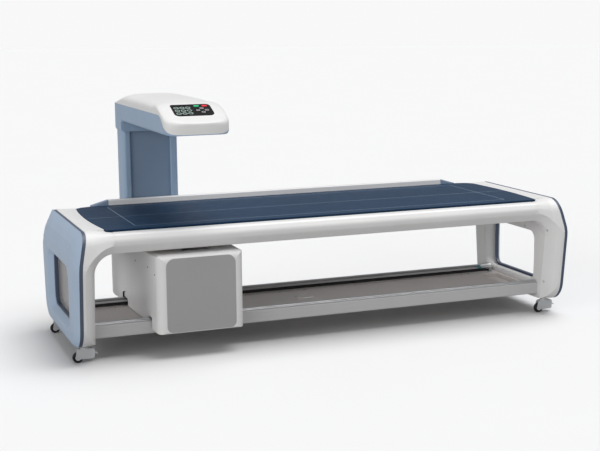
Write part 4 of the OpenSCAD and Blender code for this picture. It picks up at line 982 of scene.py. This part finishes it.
# The fittings' sizes are in millimetres. A screw's place is from the mattress's middle, and above the floor.
SCREW_PLACES = ((-60, 412), (-270, 418), (-380, 402))
SCREW_RADIUS = 4
SCREW_HEIGHT = 1.6
# how deep the screw heads are set
SCREW_SEAT = 0.2
# further out than the source box's sides, in metres
OUTSIDE = 0.5

# bent strips: their thickness, widths and lines in YZ
STRIP = 1.6
CLIP_WIDTH = 22
CLIP_LINE = [(10, -18), (10, -16), (2, -14), (0, -12), (0, 4), (2, 6), (9, 6), (11, 8), (11, 13)]
# the clip's X, and how far its back lies from the rear beam's inner face
CLIP_X = 1087
CLIP_OFF = 12.5
HOOK_WIDTH = 9
HOOK_LINE = [(0, 0), (0, 26), (-4, 30), (-12, 30), (-16, 34)]
# the plate's place: headwards of the source box, behind the mattress's middle, over the rear beam
HOOK_OFF = 9.5
HOOK_BEHIND = 176
HOOK_OVER = 13.5

# the rings at the front guide: each one's X, their size, line and height
RING_X = (-1000, -976)
RING = (13, 6)
RING_LINE = 2.6
RING_HEIGHT = 2.0
# in from the front beam's rear edge, and over its top
RING_IN = 12
RING_OVER = 0.1


class DENSITOMETER_OT_fittings(bpy.types.Operator):
    """Add the source box's screws and plate, the clip by the rear beam and the rings at the front guide"""

    bl_idname = "densitometer.fittings"
    bl_label = "Fittings"

    def execute(self, context):
        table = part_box("mattress")
        middle = (table[0].y + table[1].y) / 2
        # black oxide on steel: dark grey, half gloss
        dark = coated("black_oxide_screw", "#4A4B4E", 0.4)
        box_low, box_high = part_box("source_box")
        centre = (box_low.x + box_high.x) / 2
        for side, word in ((-1, "head"), (1, "foot")):
            for i, (y, z) in enumerate(SCREW_PLACES):
                start = (centre + side * OUTSIDE, middle + y * MM, z * MM)
                place, normal = seat("source_box", start, (-side, 0, 0))
                screw = cap_screw(f"box_screw_{word}_{i + 1}", SCREW_RADIUS * MM, SCREW_HEIGHT * MM)
                set_on(screw, place - normal * SCREW_SEAT * MM, normal)
                finish_piece(screw, "gantry", dark)

        # a spring clip near the foot end: its back stands 0.3 mm in the belt, and the beam is clear of it
        beam_low, beam_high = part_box("rear_beam")
        clip_line = [(y * MM, z * MM) for y, z in CLIP_LINE]
        clip = strip_piece("cable_clip", clip_line, CLIP_WIDTH * MM, STRIP * MM)
        clip.location = (CLIP_X * MM, beam_low.y - CLIP_OFF * MM, beam_high.z)
        # moulded nylon: teal, fairly smooth
        teal = moulded("nylon_teal", "#4E8C93", 0.35, tone=0.1)
        finish_piece(clip, "table", teal)

        # a bent plate by the head side of the source box, over the rear guide; it touches nothing
        black = NODES["scan_window"].data.materials[0]
        hook_line = [(y * MM, z * MM) for y, z in HOOK_LINE]
        hook = strip_piece("cable_hook", hook_line, HOOK_WIDTH * MM, STRIP * MM)
        hook_y, hook_z = middle + HOOK_BEHIND * MM, beam_high.z + HOOK_OVER * MM
        hook.location = (box_low.x - HOOK_OFF * MM, hook_y, hook_z)
        finish_piece(hook, "gantry", black)

        # two black rings, mostly sunk in the side of the front guide; the bearing blocks pass over them
        front_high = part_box("front_beam")[1]
        for i, x in enumerate(RING_X):
            size = (RING[0] * MM, RING[1] * MM)
            ring = outline_of(f"beam_stop_{i + 1}", size, RING_LINE * MM, RING_HEIGHT * MM)
            ring.location = (x * MM, front_high.y - RING_IN * MM, front_high.z + RING_OVER * MM)
            finish_piece(ring, "table", black)
        return {"FINISHED"}


# ---------- stage ----------


# the floor's colour as it is looked at, and as it lights the machine's undersides
FLOOR_SEEN = (0.80, 0.80, 0.80, 1.0)
FLOOR_CAST = (0.42, 0.42, 0.42, 1.0)
FLOOR_RADIUS = 60
# the backdrop's colour in the same way, and the strength of its light
BACKDROP_SEEN = (0.94, 0.94, 0.94, 1.0)
BACKDROP_CAST = (0.97, 0.98, 1.0, 1.0)
BACKDROP_LIGHT = 0.35
# each light's name, aim, power and width in degrees
SUNS = (
    ("overhead", (-0.3, 0.06, -1.0), 2.5, 48),
    # level, so that it lights the upright faces and throws no shadow on the floor
    ("side_fill", (0.87, 0.49, 0.0), 2.0, 60),
)
# the camera's place in metres, which way it looks, which way its right side lies; lens and film in mm
CAMERA_PLACE = (-2.26613, -5.79909, 1.57410)
CAMERA_AHEAD = (0.356732, 0.918481, -0.170688)
CAMERA_ACROSS = (0.931615, -0.363354, -0.008185)
CAMERA_LENS = 72.63
CAMERA_FILM = 36.0
CAMERA_REACH = 200


class DENSITOMETER_OT_stage(bpy.types.Operator):
    """Set the floor, the soft studio light and the camera"""

    bl_idname = "densitometer.stage"
    bl_label = "Stage"

    def execute(self, context):
        scene = context.scene
        bpy.ops.object.select_all(action="DESELECT")
        bpy.ops.mesh.primitive_circle_add(vertices=96, radius=FLOOR_RADIUS, fill_type="NGON")
        floor = context.active_object
        floor.name = "studio_floor"
        made, tree, surface, place = shader("studio_floor")
        # paper, matt: bright where it is looked at, and duller where it lights the machine's undersides
        bright = toned(tree, place, FLOOR_SEEN, 900, 0.004)
        ray = add(tree, "ShaderNodeLightPath")
        paper = add(
            tree,
            "ShaderNodeMix",
            {"data_type": "RGBA"},
            {"Factor": ray.outputs["Is Camera Ray"], 6: FLOOR_CAST, 7: bright},
        )
        tree.links.new(paper.outputs[2], surface.inputs["Base Color"])
        surface.inputs["Roughness"].default_value = 0.9
        surface.inputs["Specular IOR Level"].default_value = 0.0
        floor.data.materials.append(made)

        world = bpy.data.worlds.new("studio_world")
        scene.world = world
        world.use_nodes = True
        tree = world.node_tree
        tree.nodes.clear()
        # the backdrop is seen bright, and lights the machine less, as paper behind flagged lamps does
        seen = add(tree, "ShaderNodeBackground", {}, {"Color": BACKDROP_SEEN, "Strength": 1.0})
        cast = add(
            tree,
            "ShaderNodeBackground",
            {},
            {"Color": BACKDROP_CAST, "Strength": BACKDROP_LIGHT},
        )
        ray = add(tree, "ShaderNodeLightPath")
        both = add(
            tree,
            "ShaderNodeMixShader",
            {},
            {0: ray.outputs["Is Camera Ray"], 1: cast.outputs[0], 2: seen.outputs[0]},
        )
        out = add(tree, "ShaderNodeOutputWorld")
        tree.links.new(both.outputs[0], out.inputs["Surface"])

        for name, aim, power, angle in SUNS:
            lamp = bpy.data.lights.new(name, "SUN")
            lamp.energy, lamp.angle = power, math.radians(angle)
            placed = bpy.data.objects.new(name, lamp)
            placed.rotation_euler = Vector(aim).to_track_quat("-Z", "Y").to_euler()
            scene.collection.objects.link(placed)

        lens = bpy.data.cameras.new("studio_camera")
        lens.sensor_width, lens.lens = CAMERA_FILM, CAMERA_LENS
        lens.clip_end = CAMERA_REACH
        camera = bpy.data.objects.new("studio_camera", lens)
        ahead = Vector(CAMERA_AHEAD).normalized()
        across = Vector(CAMERA_ACROSS).normalized()
        up = across.cross(ahead).normalized()
        turn = Matrix((across, up, -ahead)).transposed().to_4x4()
        camera.matrix_world = Matrix.Translation(CAMERA_PLACE) @ turn
        scene.collection.objects.link(camera)
        scene.camera = camera
        scene.view_settings.view_transform = "Standard"
        return {"FINISHED"}


# ---------- panel and running order ----------

STEPS = ("finishes", "mattress", "arm", "panel_marks", "fittings", "stage")


class DENSITOMETER_PT_panel(bpy.types.Panel):
    """Lists the densitometer's steps"""

    bl_idname = "DENSITOMETER_PT_panel"
    bl_label = "Densitometer"
    bl_space_type = "VIEW_3D"
    bl_region_type = "UI"
    bl_category = "Densitometer"

    def draw(self, context):
        scene = context.scene
        for group in (scene.densitometer_colours, scene.densitometer_sizes):
            box = self.layout.box()
            for name in group.__annotations__:
                box.prop(group, name)
        for step in STEPS:
            self.layout.operator("densitometer." + step)


CLASSES = (
    DensitometerColours,
    DensitometerSizes,
    DENSITOMETER_OT_finishes,
    DENSITOMETER_OT_mattress,
    DENSITOMETER_OT_arm,
    DENSITOMETER_OT_panel_marks,
    DENSITOMETER_OT_fittings,
    DENSITOMETER_OT_stage,
    DENSITOMETER_PT_panel,
)


def register():
    for kind in CLASSES:
        bpy.utils.register_class(kind)
    bpy.types.Scene.densitometer_colours = bpy.props.PointerProperty(type=DensitometerColours)
    bpy.types.Scene.densitometer_sizes = bpy.props.PointerProperty(type=DensitometerSizes)


def unregister():
    del bpy.types.Scene.densitometer_sizes
    del bpy.types.Scene.densitometer_colours
    for kind in reversed(CLASSES):
        bpy.utils.unregister_class(kind)


def main():
    register()
    for step in STEPS:
        getattr(bpy.ops.densitometer, step)()


if __name__ == "__main__":
    main()
